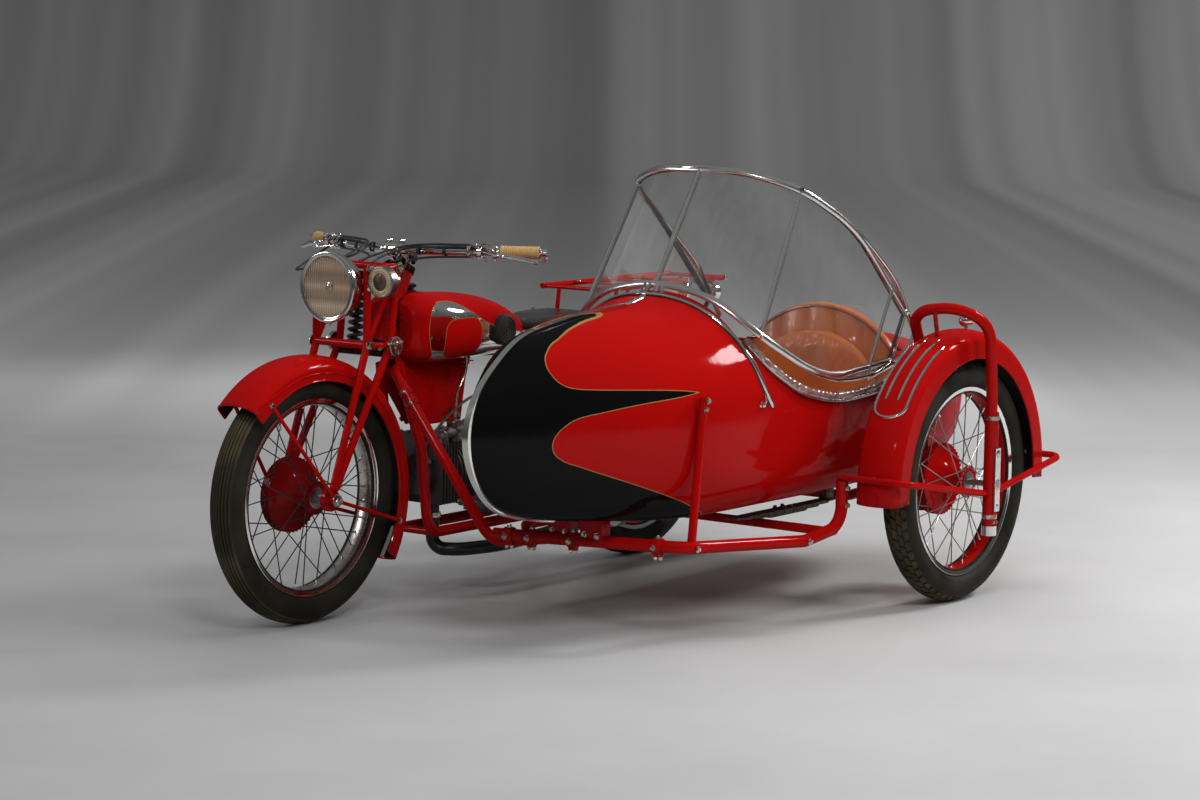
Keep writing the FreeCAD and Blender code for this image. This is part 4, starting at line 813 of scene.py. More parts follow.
def make_wheel(node_name, centre, body, rim_mats, spoke_mat, hub_mats, extra=None):
    """A laced wire wheel: rim, spokes with nipples, hub and drum."""
    shape = Shape()
    profile = rim_lines()
    slots = []
    for (r0, y0), (r1, y1) in zip(profile, profile[1:] + profile[:1]):
        slots.append(1 if abs(y0 + y1) / 2 < 0.0245 else 0)
    shape.lathe(profile, centre, Y, 144, loop=True, slots=slots)
    shape.done(node_name + "_rim", rim_mats, body, (node_name,))

    lacing = Shape()
    drum_lip = 0.094
    for i in range(spoke_count):
        turn = 2 * math.pi * i / spoke_count
        side = 1 if i % 2 == 0 else -1
        cross = math.radians(58) * (1 if (i // 2) % 2 == 0 else -1)
        y = side * 0.0395
        foot = 0.0395
        if side < 0:
            foot, cross = drum_lip, cross * 0.62
        start = turn + cross
        a = centre + X * (foot * math.cos(start)) + Z * (foot * math.sin(start)) + Y * y
        b = centre + upright(turn) * (rim_inside + 0.001) + Y * (side * 0.004)
        line = (b - a).normalized()
        lacing.slot = 0
        lacing.rod(a, b, 0.00155, 8)
        lacing.slot = 1
        lacing.lathe([(0, 0), (0.0021, 0), (0.0026, 0.002), (0.0026, 0.009), (0.0038, 0.0115),
                      (0.0038, 0.0135), (0, 0.0135)], b - line * 0.0125, line, 8)
        lacing.slot = 0
        head_out = Y * side
        lacing.lathe([(0, 0), (0.0030, 0), (0.0024, 0.0018), (0, 0.0022)], a + head_out * 0.0012,
                     head_out, 8)
    valve = centre + upright(1.1) * (rim_inside + 0.001)
    inward = (centre - valve).normalized()
    lacing.slot = 1
    lacing.lathe([(0, 0), (0.0065, 0), (0.0065, 0.003), (0.0038, 0.0035), (0.0038, 0.022),
                  (0.0045, 0.023), (0.0045, 0.033), (0.003, 0.035), (0, 0.035)], valve, inward, 12)
    lacing.done(node_name + "_spokes", [spoke_mat, chrome], body)

    hub = Shape()
    hub.lathe([(0.0085, 0.0415), (0.0150, 0.0418), (0.0170, 0.0405), (0.0395, 0.0395),
               (0.0438, 0.0405),
               (0.0440, 0.0372), (0.0330, 0.0350), (0.0290, 0.0300), (0.0290, 0.0050),
               (0.0340, -0.0120), (0.0520, -0.0300), (0.0700, -0.0360), (0.0900, -0.0372),
               (0.0955, -0.0385), (0.0955, -0.0420)], centre, Y, 72)
    ribs = []
    y = -0.0420
    while y > -0.0640:
        ribs += [(0.0925, y), (0.0925, y - 0.0016), (0.0968, y - 0.0022), (0.0968, y - 0.0040)]
        y -= 0.0056
    hub.lathe([(0.0955, -0.0420)] + ribs + [(0.0930, -0.0668), (0.0880, -0.0670), (0.0870, -0.0640),
                                           (0.0600, -0.0620), (0.0300, -0.0650), (0.0180, -0.0655),
                                           (0.0085, -0.0655)], centre, Y, 96)
    for turn in rounds(44):
        ray = upright(turn)
        spin = Matrix((ray, Y, ray.cross(Y))).transposed()
        hub.box(centre + ray * 0.0950 - Y * 0.0385, (0.0046, 0.0050, 0.0055), spin)
    hub.slot = 1
    for i in range(6):
        turn = math.pi / 3 * i
        hub.bolt(centre + upright(turn) * 0.060 - Y * 0.0640, -Y, 0.0045, 0.004)
    hub.slot = 2
    hub.lathe([(0.0085, 0.0405), (0.0260, 0.0408), (0.0275, 0.0425), (0.0240, 0.0440),
               (0.0130, 0.0446),
               (0.0085, 0.0446)], centre, Y, 40)
    hub.done(node_name + "_hub", hub_mats, body)
    if extra:
        extra(centre, body)


def rear_sprocket(centre, body):
    """The rear wheel's toothed ring, drilled for lightness."""
    shape = Shape()
    teeth = 34
    side = centre + Y * 0.060
    rows = []
    for i in range(teeth * 4):
        turn = 2 * math.pi * i / (teeth * 4)
        reach = (0.0920, 0.0905, 0.0852, 0.0905)[i % 4]
        ray = upright(turn)
        rows.append([side + ray * r + Y * y for r, y in
                     ((0.0620, -0.0025), (0.0840, -0.0025), (reach, -0.0016), (reach, 0.0016),
                      (0.0840, 0.0025), (0.0620, 0.0025))])
    shape.grid(rows, around=True, along=True)
    for i in range(8):
        turn = math.pi / 4 * i
        ray = upright(turn)
        spin = Matrix((ray, Y, ray.cross(Y))).transposed()
        shape.box(side + ray * 0.0450, (0.0420, 0.0044, 0.0110), spin)
    shape.lathe([(0.0090, -0.0170), (0.0290, -0.0170), (0.0290, 0.0020), (0.0230, 0.0060),
                 (0.0090, 0.0062)], side, Y, 40)
    shape.done("rear_sprocket", steel_metal, body)


# The front and rear hubs take the red enamel in painted shade
make_wheel("front_wheel", front_axle, "front_roller", [chrome, dull_chrome], black_steel,
           [red_enamel_in_painted_shade, dull_chrome, steel_metal])
make_wheel("rear_wheel", rear_axle, "rear_roller", [chrome, red_paint], steel_metal,
           [red_enamel_in_painted_shade, dull_chrome, steel_metal], rear_sprocket)
make_wheel("sidecar_wheel", side_axle, "sidecar_roller", [chrome, red_paint], steel_metal,
           [red_paint, dull_chrome, steel_metal])


def rounded(points, steps=7):
    """Runs joined by arcs as large as they allow, and the line's own point at each corner."""
    line = [points[0]]
    marks = [points[0]]
    for i in range(1, len(points) - 1):
        corner = points[i]
        back, ahead = points[i - 1] - corner, points[i + 1] - corner
        reach = 0.45 * min(back.length, ahead.length)
        back, ahead = back.normalized(), ahead.normalized()
        half = back.angle(ahead) / 2
        bend = reach * math.tan(half)
        first, last = corner + back * reach, corner + ahead * reach
        hub = corner + (back + ahead).normalized() * (bend / math.sin(half))
        a, b = first - hub, last - hub
        span = a.angle(b)
        for k in range(steps + 1):
            t = k / steps
            mixed = a * math.sin((1 - t) * span) + b * math.sin(t * span)
            line.append(hub + mixed / math.sin(span))
        marks.append(corner + (back + ahead).normalized() * (bend / math.sin(half) - bend))
    line.append(points[-1])
    marks.append(points[-1])
    return line, marks


# Mudguards: the middle of the arc, its radius, its drop, and where it begins and ends
guard_half = 0.066
side_guard = (side_axle + Vector((0.015, 0, 0.005)), 0.405, 0.075, -4.0, 184.0)
rear_guard = (rear_axle, 0.368, 0.040, 20.0, 196.0)
front_guard = (front_axle + Vector((0.010, 0, -0.008)), 0.372, 0.062, 46.0, 211.0)


def on_guard(centre, radius, degrees, y, lift=0.0):
    """A point on a mudguard's outside and the way out of it there."""
    turn = math.radians(degrees)
    ray = upright(turn)
    side = abs(y)
    if side <= 0.046:
        r = radius - 0.008 * (side / 0.046) ** 2
        slope = 2 * 0.008 * side / 0.046 ** 2
    else:
        share = (side - 0.046) / 0.020
        r = radius - 0.008 - 0.022 * share ** 1.7
        slope = 0.35 + 2.2 * share
    out = (ray + Y * math.copysign(slope, y)).normalized()
    return centre + ray * r + Y * y + out * lift, out


def guard_edges(shape, centre, radius, drop, first, last, wire=0.0028):
    """Rolled wire edges along both sides of a mudguard and across its ends."""
    edge = radius - drop
    sides = []
    for side in (1, -1):
        run = []
        for i in range(49):
            turn = math.radians(first + (last - first) * i / 48)
            run.append(centre + upright(turn) * (edge + 0.001)
                       + Y * side * (guard_half - 0.002))
        sides.append(run)
        shape.tube(run, wire, 8)
    for degrees in (first, last):
        run = []
        for i in range(21):
            y = -guard_half + 0.002 + (2 * guard_half - 0.004) * i / 20
            run.append(on_guard(centre, radius, degrees, y, -0.001)[0])
        turn = math.radians(degrees)
        ray = upright(turn)
        low = centre + ray * (edge + 0.001)
        run = [low - Y * (guard_half - 0.002)] + run + [low + Y * (guard_half - 0.002)]
        shape.tube(run, wire, 8)


def guard_lining(shape, centre, radius, drop, first, last):
    """The dark inner face of a mudguard, a thin skin just inside the pressed metal."""
    section = [(radius - drop + 0.001, -0.0632), (radius - 0.0300, -0.0632),
               (radius - 0.0235, -0.0602),
               (radius - 0.0183, -0.0558), (radius - 0.0140, -0.0508)]
    section += [(radius - 0.0028 - 0.0080 * (y / 0.045) ** 2, y) for y in
                (-0.045, -0.034, -0.023, -0.012)]
    section += [(radius - 0.0028, 0.0)] + [(r, -y) for r, y in reversed(section)]
    back = []
    for i, (r, y) in enumerate(section):
        r0, y0 = section[max(i - 1, 0)]
        r1, y1 = section[min(i + 1, len(section) - 1)]
        length = math.hypot(r1 - r0, y1 - y0)
        back.append((r - (y1 - y0) / length * 0.0005, y + (r1 - r0) / length * 0.0005))
    loop = section + list(reversed(back))
    rows = []
    for i in range(61):
        turn = math.radians(first + 0.6 + (last - first - 1.2) * i / 60)
        ray = upright(turn)
        rows.append([centre + ray * r + Y * y for r, y in loop])
    shape.solid(rows)


def dress_guards():
    """Chrome strips, pressed lines, rolled edges and stay bolts on the three mudguards."""
    centre, radius = side_guard[:2]
    strips = Shape()
    leg = 0.047
    path = [(70.0 - 35.0 * i / 16, -leg) for i in range(17)]
    path += [(35.0 - 5.4 * math.sin(math.pi * i / 16), -leg * math.cos(math.pi * i / 16))
             for i in range(1, 16)]
    path += [(35.0 + 34.0 * i / 16, leg) for i in range(17)]
    spots = [on_guard(centre, radius, a, y) for a, y in path]
    strips.strip([p for p, n in spots], [n for p, n in spots], 0.0085, 0.0036)
    for y in (-0.0185, 0.0185):
        spots = [on_guard(centre, radius, 37.0 + 36.0 * i / 20, y) for i in range(21)]
        strips.strip([p for p, n in spots], [n for p, n in spots], 0.0080, 0.0034)
    strips.done("guard_strips", chrome, "outfit")

    rolled = Shape()
    guard_edges(rolled, *side_guard)
    guard_edges(rolled, *rear_guard)
    spots = [on_guard(rear_axle, 0.368, 22.0 + 172.0 * i / 60, 0.0) for i in range(61)]
    rolled.strip([p for p, n in spots], [n for p, n in spots], 0.016, 0.0030)
    rolled.done("guard_edges", red_paint, "outfit")
    lining = Shape()
    guard_lining(lining, *side_guard)
    guard_lining(lining, *rear_guard)
    lining.done("guard_linings", black_paint, "outfit")
    front_lining = Shape()
    guard_lining(front_lining, *front_guard)
    front_lining.done("front_guard_lining", black_paint, "steering")

    front = Shape()
    low = front_guard[0]
    guard_edges(front, *front_guard)
    for side in (1, -1):
        spots = []
        for i in range(61):
            degrees = 48.0 + 160.0 * i / 60
            rise = 0.020 + 0.018 * math.exp(-((degrees - 48.0) / 9.0) ** 2)
            turn = math.radians(degrees)
            ray = upright(turn)
            spots.append(low + ray * (0.310 + rise) + Y * side * guard_half)
        front.strip(spots, [Y * side] * len(spots), 0.0042, 0.0016)
    front.done("front_guard_edges", red_paint, "steering")

    bolts = Shape()
    for side in (1, -1):
        for degrees in (55.0, 195.0):
            turn = math.radians(degrees)
            spot = low + upright(turn) * 0.322 + Y * side * 0.0655
            bolts.bolt(spot, Y * side, 0.0058, 0.0045)
        foot = front_axle + Y * side * 0.112
        bolts.bolt(foot, Y * side, 0.0125, 0.009)
        bolts.lathe([(0, 0), (0.0055, 0), (0.0050, 0.004), (0, 0.004)], foot + Y * side * 0.009,
                    Y * side, 12)
    bolts.done("front_guard_bolts", dull_chrome, "steering")


dress_guards()


# The sidecar's trim: one strap from the crest round the cowl and down the side
strap_line = [(818, 0, 852), (815, 30, 851), (810, 66, 848), (803, 105, 841), (795, 150, 824),
              (787, 190, 801), (779, 226, 771), (770, 253, 742), (763, 271, 715), (753, 287, 690),
              (741, 303, 648), (726, 312, 612), (704, 317, 571)]


def on_hull(p):
    """The nearest place on the sidecar's body and the way out there."""
    spot = nodes["sidecar_body"].closest_point_on_mesh(p)[1]
    out = Vector((0.12, (p.y - origin.y - body_y) / 0.316 ** 2, (p.z - body_z) / 0.280 ** 2))
    return spot, out.normalized()


def dress_cowl():
    """The plated cowl strap, a black strip under it whose edges paint the shade line beside it, the
    knobs at its ends and the nose strip's end.
    """
    trim = Shape()
    dark = Shape()
    whole = [(x, -y, z) for x, y, z in reversed(strap_line)] + strap_line[1:]
    spots = [on_hull(p) for p in smoothed([mm(x, body_mm + y, z) for x, y, z in whole], 5)]
    outs = [n for p, n in spots]
    trim.strip([p + n * 0.0030 for p, n in spots], outs, 0.0120, 0.0044)
    # Painted shade: a wider black strip under the strap shows as a dark line along its edges
    dark.strip([p + n * 0.0006 for p, n in spots], outs, 0.0165, 0.0024)
    for side in (1, -1):
        foot = mm(748, body_mm + side * 311, 580)
        out = Y * side
        trim.lathe([(0, -0.004), (0.0080, -0.004), (0.0080, 0.0015), (0.0052, 0.0030),
                    (0.0052, 0.0080), (0.0066, 0.0100), (0.0040, 0.0130), (0, 0.0135)], foot, out,
                    20)
        lever = smoothed([foot + out * 0.008, foot + out * 0.012 + Z * 0.012 - X * 0.004,
                          foot + out * 0.006 + Z * 0.026 - X * 0.008], 6)
        trim.tube(lever, [0.0032 - 0.0014 * i / (len(lever) - 1) for i in range(len(lever))], 8)
        for y in (10, 26):
            top = mm(790, body_mm + side * y, 872)
            low = mm(806 - y * 0.3, body_mm + side * (y + 6), 851)
            trim.tube([top, top * 0.5 + low * 0.5 + X * 0.001, low], 0.0034, 8, squash=1.6)
            trim.bolt(low, Z, 0.0050, 0.0040)
    crest = [mm(x, body_mm, z) for x, z in ((930, 824.0), (905, 829.0), (880, 833.5), (855, 838.5),
                                            (832, 843.5))]
    crest = [on_hull(p)[0] for p in crest]
    trim.strip([p + Z * 0.0015 for p in crest], [Z] * len(crest), 0.0175, 0.0050)
    trim.done("cowl_band", chrome, "outfit")
    dark.done("cowl_shade_strip", black_rubber, "outfit")


dress_cowl()

# The windscreen: foot and top of each post, from the middle to one end
screen_rows = [
    (592, 0, 1166, 786, 0, 878),
    (575, 150, 1155, 772, 175, 845),
    (513, 270, 1115, 735, 300, 750),
    (325, 315, 1010, 500, 342, 624),
    (127, 322, 862, 291, 340, 612),
    (20, 320, 716, 60, 322, 655),
]
# The top rail's cover stays below this height
screen_peak = 1.1600


def dress_screen():
    """Rubber beads inside the rails and posts, and their screws and fork-shaped feet."""
    rows = [(a, -b, c, d, -e, f) for a, b, c, d, e, f in reversed(screen_rows[1:])] + screen_rows
    rows.sort(key=lambda row: row[1])
    tops, top_marks = rounded([mm(a, body_mm + b, c) for a, b, c, d, e, f in rows])
    feet, foot_marks = rounded([mm(d, body_mm + e, f) for a, b, c, d, e, f in rows])
    heart = mm(330, body_mm, 780)
    beads = Shape()
    screws = Shape()
    bars = Shape()

    def inner(p, other):
        """A point a little inside the screen from a rail's line."""
        toward = (other - p).normalized()
        inward = heart - p
        return (inward - toward * inward.dot(toward)).normalized()

    def facing(line, far_line, i):
        """The point of the far rail across from a point of this one."""
        return far_line[min(int(i / len(line) * len(far_line)), len(far_line) - 1)]

    top_count, foot_count = len(tops), len(feet)
    for line, far_line in ((tops, feet), (feet, tops)):
        run = []
        for i, p in enumerate(line):
            other = facing(line, far_line, i)
            run.append(p + inner(p, other) * 0.0048 + (other - p).normalized() * 0.0022)
        beads.tube(run, 0.0052, 8)
    for line, far_line in ((tops, feet), (feet, tops)):
        outs = [-inner(p, facing(line, far_line, i))
                for i, p in enumerate(line)]
        run = [p + n * 0.0030 for p, n in zip(line, outs)]
        for p in run:
            p.z = min(p.z, screen_peak)
        bars.strip(run, outs, 0.0195, 0.0056)
    for i in (1, 3, 5, 7, 9):
        a, b = top_marks[i], foot_marks[i]
        inward = inner(a, b)
        bars.strip([b - inward * 0.0028, (a + b) / 2 - inward * 0.0028, a - inward * 0.0028],
                   [-inward] * 3, 0.0165, 0.0050)
        low, high = b + (a - b) * 0.02, a + (b - a) * 0.02
        beads.tube([low + inward * 0.0042, (low + high) / 2 + inward * 0.0042,
                    high + inward * 0.0042],
                   0.0046, 8)
        for share in (0.06, 0.35, 0.65, 0.94):
            spot = a + (b - a) * share
            screws.lathe([(0, 0), (0.0032, 0), (0.0026, 0.0012), (0, 0.0016)],
                         spot - inward * 0.0045, -inward, 12)
    for i in range(0, foot_count, 4):
        spot = feet[i]
        out = -inner(spot, tops[min(int(i / foot_count * top_count), top_count - 1)])
        screws.lathe([(0, 0), (0.0032, 0), (0.0026, 0.0010), (0, 0.0014)], spot + out * 0.0066, out,
                     12)
    for p in (foot_marks[3], foot_marks[7], foot_marks[1], foot_marks[9], top_marks[1],
              top_marks[9],
              top_marks[3], top_marks[7]):
        screws.lathe([(0, -0.009), (0.0088, -0.009), (0.0094, -0.004), (0.0094, 0.004),
                      (0.0088, 0.009),
                      (0, 0.009)], p, (Z if p.z > 0.9 else X), 16)
    bars.done("screen_bars", brushed_plate, "outfit")
    beads.done("screen_rubber", black_rubber, "outfit")
    screws.done("screen_screws", chrome, "outfit")


dress_screen()


# Soft parts
def simulate_pad(obj, voxel, cap, pressure, held):
    """Remesh a closed form and let air pressure swell it, with the held part fixed."""
    remesh = obj.modifiers.new("remesh", "REMESH")
    remesh.mode = "VOXEL"
    remesh.voxel_size = voxel
    graph = bpy.context.evaluated_depsgraph_get()
    data = bpy.data.meshes.new_from_object(obj.evaluated_get(graph))
    obj.modifiers.clear()
    mats = list(obj.data.materials)
    obj.data = data
    data.materials.clear()
    for mat in mats:
        data.materials.append(mat)
    start = [v.co.copy() for v in data.vertices]
    group = obj.vertex_groups.new(name="held")
    group.add([i for i, p in enumerate(start) if held(p)], 1.0, "REPLACE")
    cloth = obj.modifiers.new("cloth", "CLOTH")
    cloth.settings.quality = 4
    cloth.settings.mass = 0.3
    cloth.settings.use_pressure = True
    cloth.settings.uniform_pressure_force = pressure
    cloth.settings.vertex_group_mass = "held"
    cloth.settings.effector_weights.gravity = 0
    cloth.point_cache.frame_start = 1
    cloth.point_cache.frame_end = 20
    for step in range(1, 21):
        bpy.context.scene.frame_set(step)
    graph = bpy.context.evaluated_depsgraph_get()
    swollen = [v.co.copy() for v in obj.evaluated_get(graph).data.vertices]
    obj.modifiers.clear()
    for vertex, old, new in zip(data.vertices, start, swollen):
        move = new - old
        if move.length > cap:
            move = move.normalized() * cap
        vertex.co = old + move
    bpy.context.scene.frame_set(1)
    data.polygons.foreach_set("use_smooth", [True] * len(data.polygons))
    smooth = obj.modifiers.new("even", "SMOOTH")
    smooth.iterations = 3
    subdivide = obj.modifiers.new("smooth", "SUBSURF")
    subdivide.levels = subdivide.render_levels = 1


def back_top(y):
    """The height of the seat back's edge at a distance from its middle."""
    return 0.772 - 0.2955 + math.sqrt(max(0.2955 ** 2 - y * y, 0.0))


# The cushion's middle and half sizes
cushion_x = 0.261
cushion_half_x = 0.216
cushion_half_y = 0.226


def make_seat():
    """The seat back's board, its padded squab, the cushion and their piping."""
    board = Shape()
    rows = []
    count = 96
    for i in range(count + 1):
        y = -0.244 + 0.488 * i / count
        top = back_top(y)
        corner = min(1.0, (0.250 - abs(y)) / 0.012)
        thick = 0.0035 + 0.0075 * corner
        front = -0.0125 + 0.0045 * abs(math.cos(math.pi * y / 0.092)) ** 0.6
        profile = [(-0.038 + thick * 0.2, 0.372), (-0.038, 0.385), (-0.038, top - 0.020),
                   (-0.036, top - 0.008), (-0.030, top - 0.001), (-0.022, top),
                   (-0.014, top - 0.004), (front, top - 0.016), (front, 0.385), (-0.012, 0.372)]
        rows.append([at(x, body_y + y, z) for x, z in profile])
    board.solid(rows)
    board.done("seat_back_board", tan_leather, "outfit", ("seat_back",))

    squab = Shape()
    rows = []
    for i in range(25):
        share = i / 24
        z = 0.376 + (0.700 - 0.376) * share
        half = 0.216 * math.sqrt(max(1 - (max(share - 0.35, 0) / 0.66) ** 2.6, 0.02))
        ring = []
        for turn in rounds(32):
            c, s = math.cos(turn), math.sin(turn)
            y = bowed(c, 0.45) * half
            x = bowed(s, 0.7) * 0.013
            ring.append(at(0.010 + x, body_y + y, z))
        rows.append(ring)
    squab.solid(rows)
    pad = squab.done("seat_squab", tan_leather, "outfit")
    limit = origin.x - 0.0015
    simulate_pad(pad, 0.006, 0.009, 4.0, lambda p: p.x < limit)

    seat = Shape()
    rows = []
    for z, inset in ((0.370, 0.016), (0.376, 0.008), (0.400, 0.006), (0.420, 0.010), (0.432, 0.022),
                     (0.436, 0.05)):
        ring = []
        for turn in rounds(48):
            c, s = math.cos(turn), math.sin(turn)
            x = bowed(c, 0.30) * (cushion_half_x - inset)
            y = bowed(s, 0.30) * (cushion_half_y - inset)
            ring.append(at(cushion_x + x, body_y + y, z))
        rows.append(ring)
    seat.solid(rows)
    cushion = seat.done("seat_cushion_pad", tan_leather, "outfit", ("seat_cushion",))
    simulate_pad(cushion, 0.008, 0.012, 4.0, lambda p: p.z < 0.374)

    piping = Shape()
    edge = [at(-0.0105, body_y - 0.243 + 0.486 * i / 40, back_top(-0.243 + 0.486 * i / 40) - 0.010)
            for i in range(41)]
    piping.tube(edge, 0.0042, 8)
    for z, inset in ((0.3790, 0.004), (0.424, 0.005)):
        ring = []
        for turn in rounds(64):
            c, s = math.cos(turn), math.sin(turn)
            ring.append(at(cushion_x + bowed(c, 0.30) * (cushion_half_x - inset),
                           body_y + bowed(s, 0.30) * (cushion_half_y - inset), z))
        piping.tube(ring, 0.0032, 8, closed=True)
    piping.done("seat_piping", seat_leather, "outfit")


make_seat()

sill_line = [(752, 258, 742), (700, 296, 676), (580, 318, 604), (410, 320, 569), (210, 318, 580),
             (80, 310, 610), (0, 292, 668)]


def make_roll():
    """The padded leather roll on the cockpit's edge, creased where it was gathered."""
    roll = Shape()
    piping = Shape()
    for side in (1, -1):
        line, marks = rounded([mm(x, body_mm + side * y, z) for x, y, z in sill_line], 10)
        dense = []
        for a, b in zip(line, line[1:]):
            parts = max(1, int((b - a).length / 0.0022))
            dense += [a + (b - a) * k / parts for k in range(parts)]
        dense.append(line[-1])
        radii = []
        run = 0.0
        total = sum((b - a).length for a, b in zip(dense, dense[1:]))
        for i, p in enumerate(dense):
            if i:
                run += (p - dense[i - 1]).length
            fold = 0.5 + 0.5 * math.sin(run * 260 + 2.2 * math.sin(run * 37) + side)
            crease = 0.0022 * fold ** 3 * (0.45 + 0.55 * math.sin(run * 19 + 1.0) ** 2)
            swell = 0.0006 * math.sin(run * 55 + side * 2)
            ends = min(1.0, (run + 0.004) / 0.012, (total - run + 0.004) / 0.012)
            radii.append((0.0128 - crease + swell) * ends ** 0.5)
        roll.tube(dense, radii, 20)
        under = [p + Y * side * 0.0095 - Z * 0.0115 for p in line]
        piping.tube(under, 0.0048, 10)
    made = roll.done("cockpit_roll_leather", roll_leather, "outfit", ("cockpit_roll",),
                     angle=70)
    piping.done("cockpit_edge_strip", dull_chrome, "outfit")


make_roll()


saddle_height = 0.710


def saddle_row(x, half, tall, dip):
    """One section of the saddle, domed, with a skirt that turns under."""
    ring = []
    for turn in rounds(28):
        c, s = math.cos(turn), math.sin(turn)
        y = bowed(c, 0.72) * half
        z = bowed(s, 0.85 if s > 0 else 0.6) * tall
        if s > 0:
            z -= dip * (1 - (y / half) ** 2)
        ring.append(at(x, y, saddle_height + z))
    return ring


def make_saddle():
    """The leather saddle, its rim, springs and rivets."""
    seat = Shape()
    spots = [(0.2905, 0.050, 0.008, 0.0), (0.296, 0.085, 0.017, 0.0), (0.315, 0.115, 0.0255, 0.002),
             (0.350, 0.1265, 0.0285, 0.005), (0.395, 0.1255, 0.0285, 0.006),
             (0.440, 0.111, 0.0275, 0.004), (0.485, 0.090, 0.0260, 0.001),
             (0.530, 0.070, 0.0235, 0),
             (0.570, 0.052, 0.0195, 0), (0.594, 0.038, 0.0140, 0), (0.6015, 0.022, 0.007, 0)]
    seat.solid([saddle_row(*spot) for spot in spots])
    leather = seat.done("saddle_leather", saddle_leather, "outfit", ("saddle",),
                        subdivide=2, angle=75)
    metal = Shape()
    for side in (1, -1):
        foot = mm(326, side * 48, 601)
        steps = 16
        count = int(6.5 * steps)
        wound = []
        for i in range(count + 1):
            turn = 2 * math.pi * i / steps
            wound.append(foot + Vector((0.0165 * math.cos(turn), 0.0165 * math.sin(turn),
                                        0.003 + 0.078 * i / count)))
        metal.tube(wound, 0.0032, 8)
        metal.lathe([(0, 0), (0.0195, 0), (0.0195, 0.003), (0, 0.003)], foot, Z, 24)
        metal.lathe([(0, 0), (0.0195, 0), (0.0195, 0.003), (0, 0.003)], foot + Z * 0.079, Z, 24)
        metal.rod(foot, foot + Z * 0.082, 0.0045)
    metal.done("saddle_coils", chrome, "outfit", ("saddle_springs",), angle=60)
    rivets = Shape()
    for side in (1, -1):
        for x, y in ((0.305, 0.082), (0.338, 0.112), (0.575, 0.038)):
            spot = at(x, side * y, 0.7105 + 0.0235 - abs(x - 0.40) * 0.055)
            rivets.lathe([(0, -0.004), (0.0048, -0.004), (0.0048, 0.0005), (0.0030, 0.0022),
                          (0, 0.0026)], spot, Z, 14)
    rivets.done("saddle_rivets", dull_chrome, "outfit")


make_saddle()


def coil(shape, foot, top, radius, wire, turns, steps=16):
    """A wire spring from foot to top."""
    axis, u, v = spin_axes(foot, top)
    length = (top - foot).length
    points = []
    count = int(turns * steps)
    for i in range(count + 1):
        turn = 2 * math.pi * i / steps
        points.append(foot + axis * (length * i / count)
                      + (u * math.cos(turn) + v * math.sin(turn)) * radius)
    shape.tube(points, wire, 8)


def spin_axes(foot, top):
    """The line from foot to top and two directions square to it."""
    axis = (top - foot).normalized()
    u = axis.cross(Y if abs(axis.y) < 0.8 else X).normalized()
    return axis, u, axis.cross(u)


# The steered part
def make_headlamp():
    """The reflector, the bulb, the fluted glass and the rim's clip and nuts."""
    centre = mm(1332.5, 0, lamp_height)
    bowl = Shape()
    profile = [(0, 0.0002), (0.006, 0.0002)]
    for i in range(1, 13):
        r = 0.008 + 0.0745 * i / 12
        profile.append((r, 0.0002 + 0.0075 * (r / lamp_radius) ** 2))
    bowl.lathe(profile, centre, X, 72)
    bowl.done("lamp_bowl", reflector, "steering")
    bulb = Shape()
    bulb.lathe([(0.0115, 0.0005), (0.0115, 0.0035), (0.0085, 0.0045), (0.0085, 0.0062),
                (0.0050, 0.0085),
                (0, 0.0095)], centre, X, 24)
    bulb.done("lamp_bulb", dull_chrome, "steering")
    glass = Shape()
    rows = []
    rings = 26
    around = 96
    for i in range(rings + 1):
        r = lamp_radius * i / rings
        ring = []
        for turn in rounds(around):
            y, z = r * math.cos(turn), r * math.sin(turn)
            flute = 0.00045 * math.cos(2 * math.pi * y / 0.0062) * min(1.0,
                                                                       (lamp_radius - r) / 0.006)
            dome = 0.0070 * (1 - (r / lamp_radius) ** 2)
            ring.append(centre + X * (0.0085 + dome + flute) + Y * y + Z * z)
        rows.append(ring)
    made = glass.grid(rows[1:], around=True)
    glass.face(list(reversed(made[0])))
    glass.done("lamp_glass", lens_glass, "steering", ("headlamp_lens",))
    rim = Shape()
    rim.lathe([(0.0790, 0.0095), (0.0795, 0.0125), (0.0840, 0.0140), (0.0870, 0.0135),
               (0.0870, 0.0095)],
              centre, X, 96, loop=True)
    foot = mm(1336, 0, lamp_height - 90)
    rim.box(foot, (0.016, 0.020, 0.008), edge=0.002)
    rim.bolt(foot - Z * 0.004, -Z, 0.0045, 0.004)
    for side in (1, -1):
        ear = mm(1287, side * 66, lamp_height)
        rim.lathe([(0.0072, -0.004), (0.0130, -0.004), (0.0130, 0.0020), (0.0105, 0.0040),
                   (0.0105, 0.0085),
                   (0.0072, 0.0085)], ear, Y * side, 24, loop=True)
        rim.bolt(mm(1287, side * 96.2, lamp_height), Y * side, 0.0090, 0.006)
    rim.done("lamp_rim_clip", chrome, "steering")


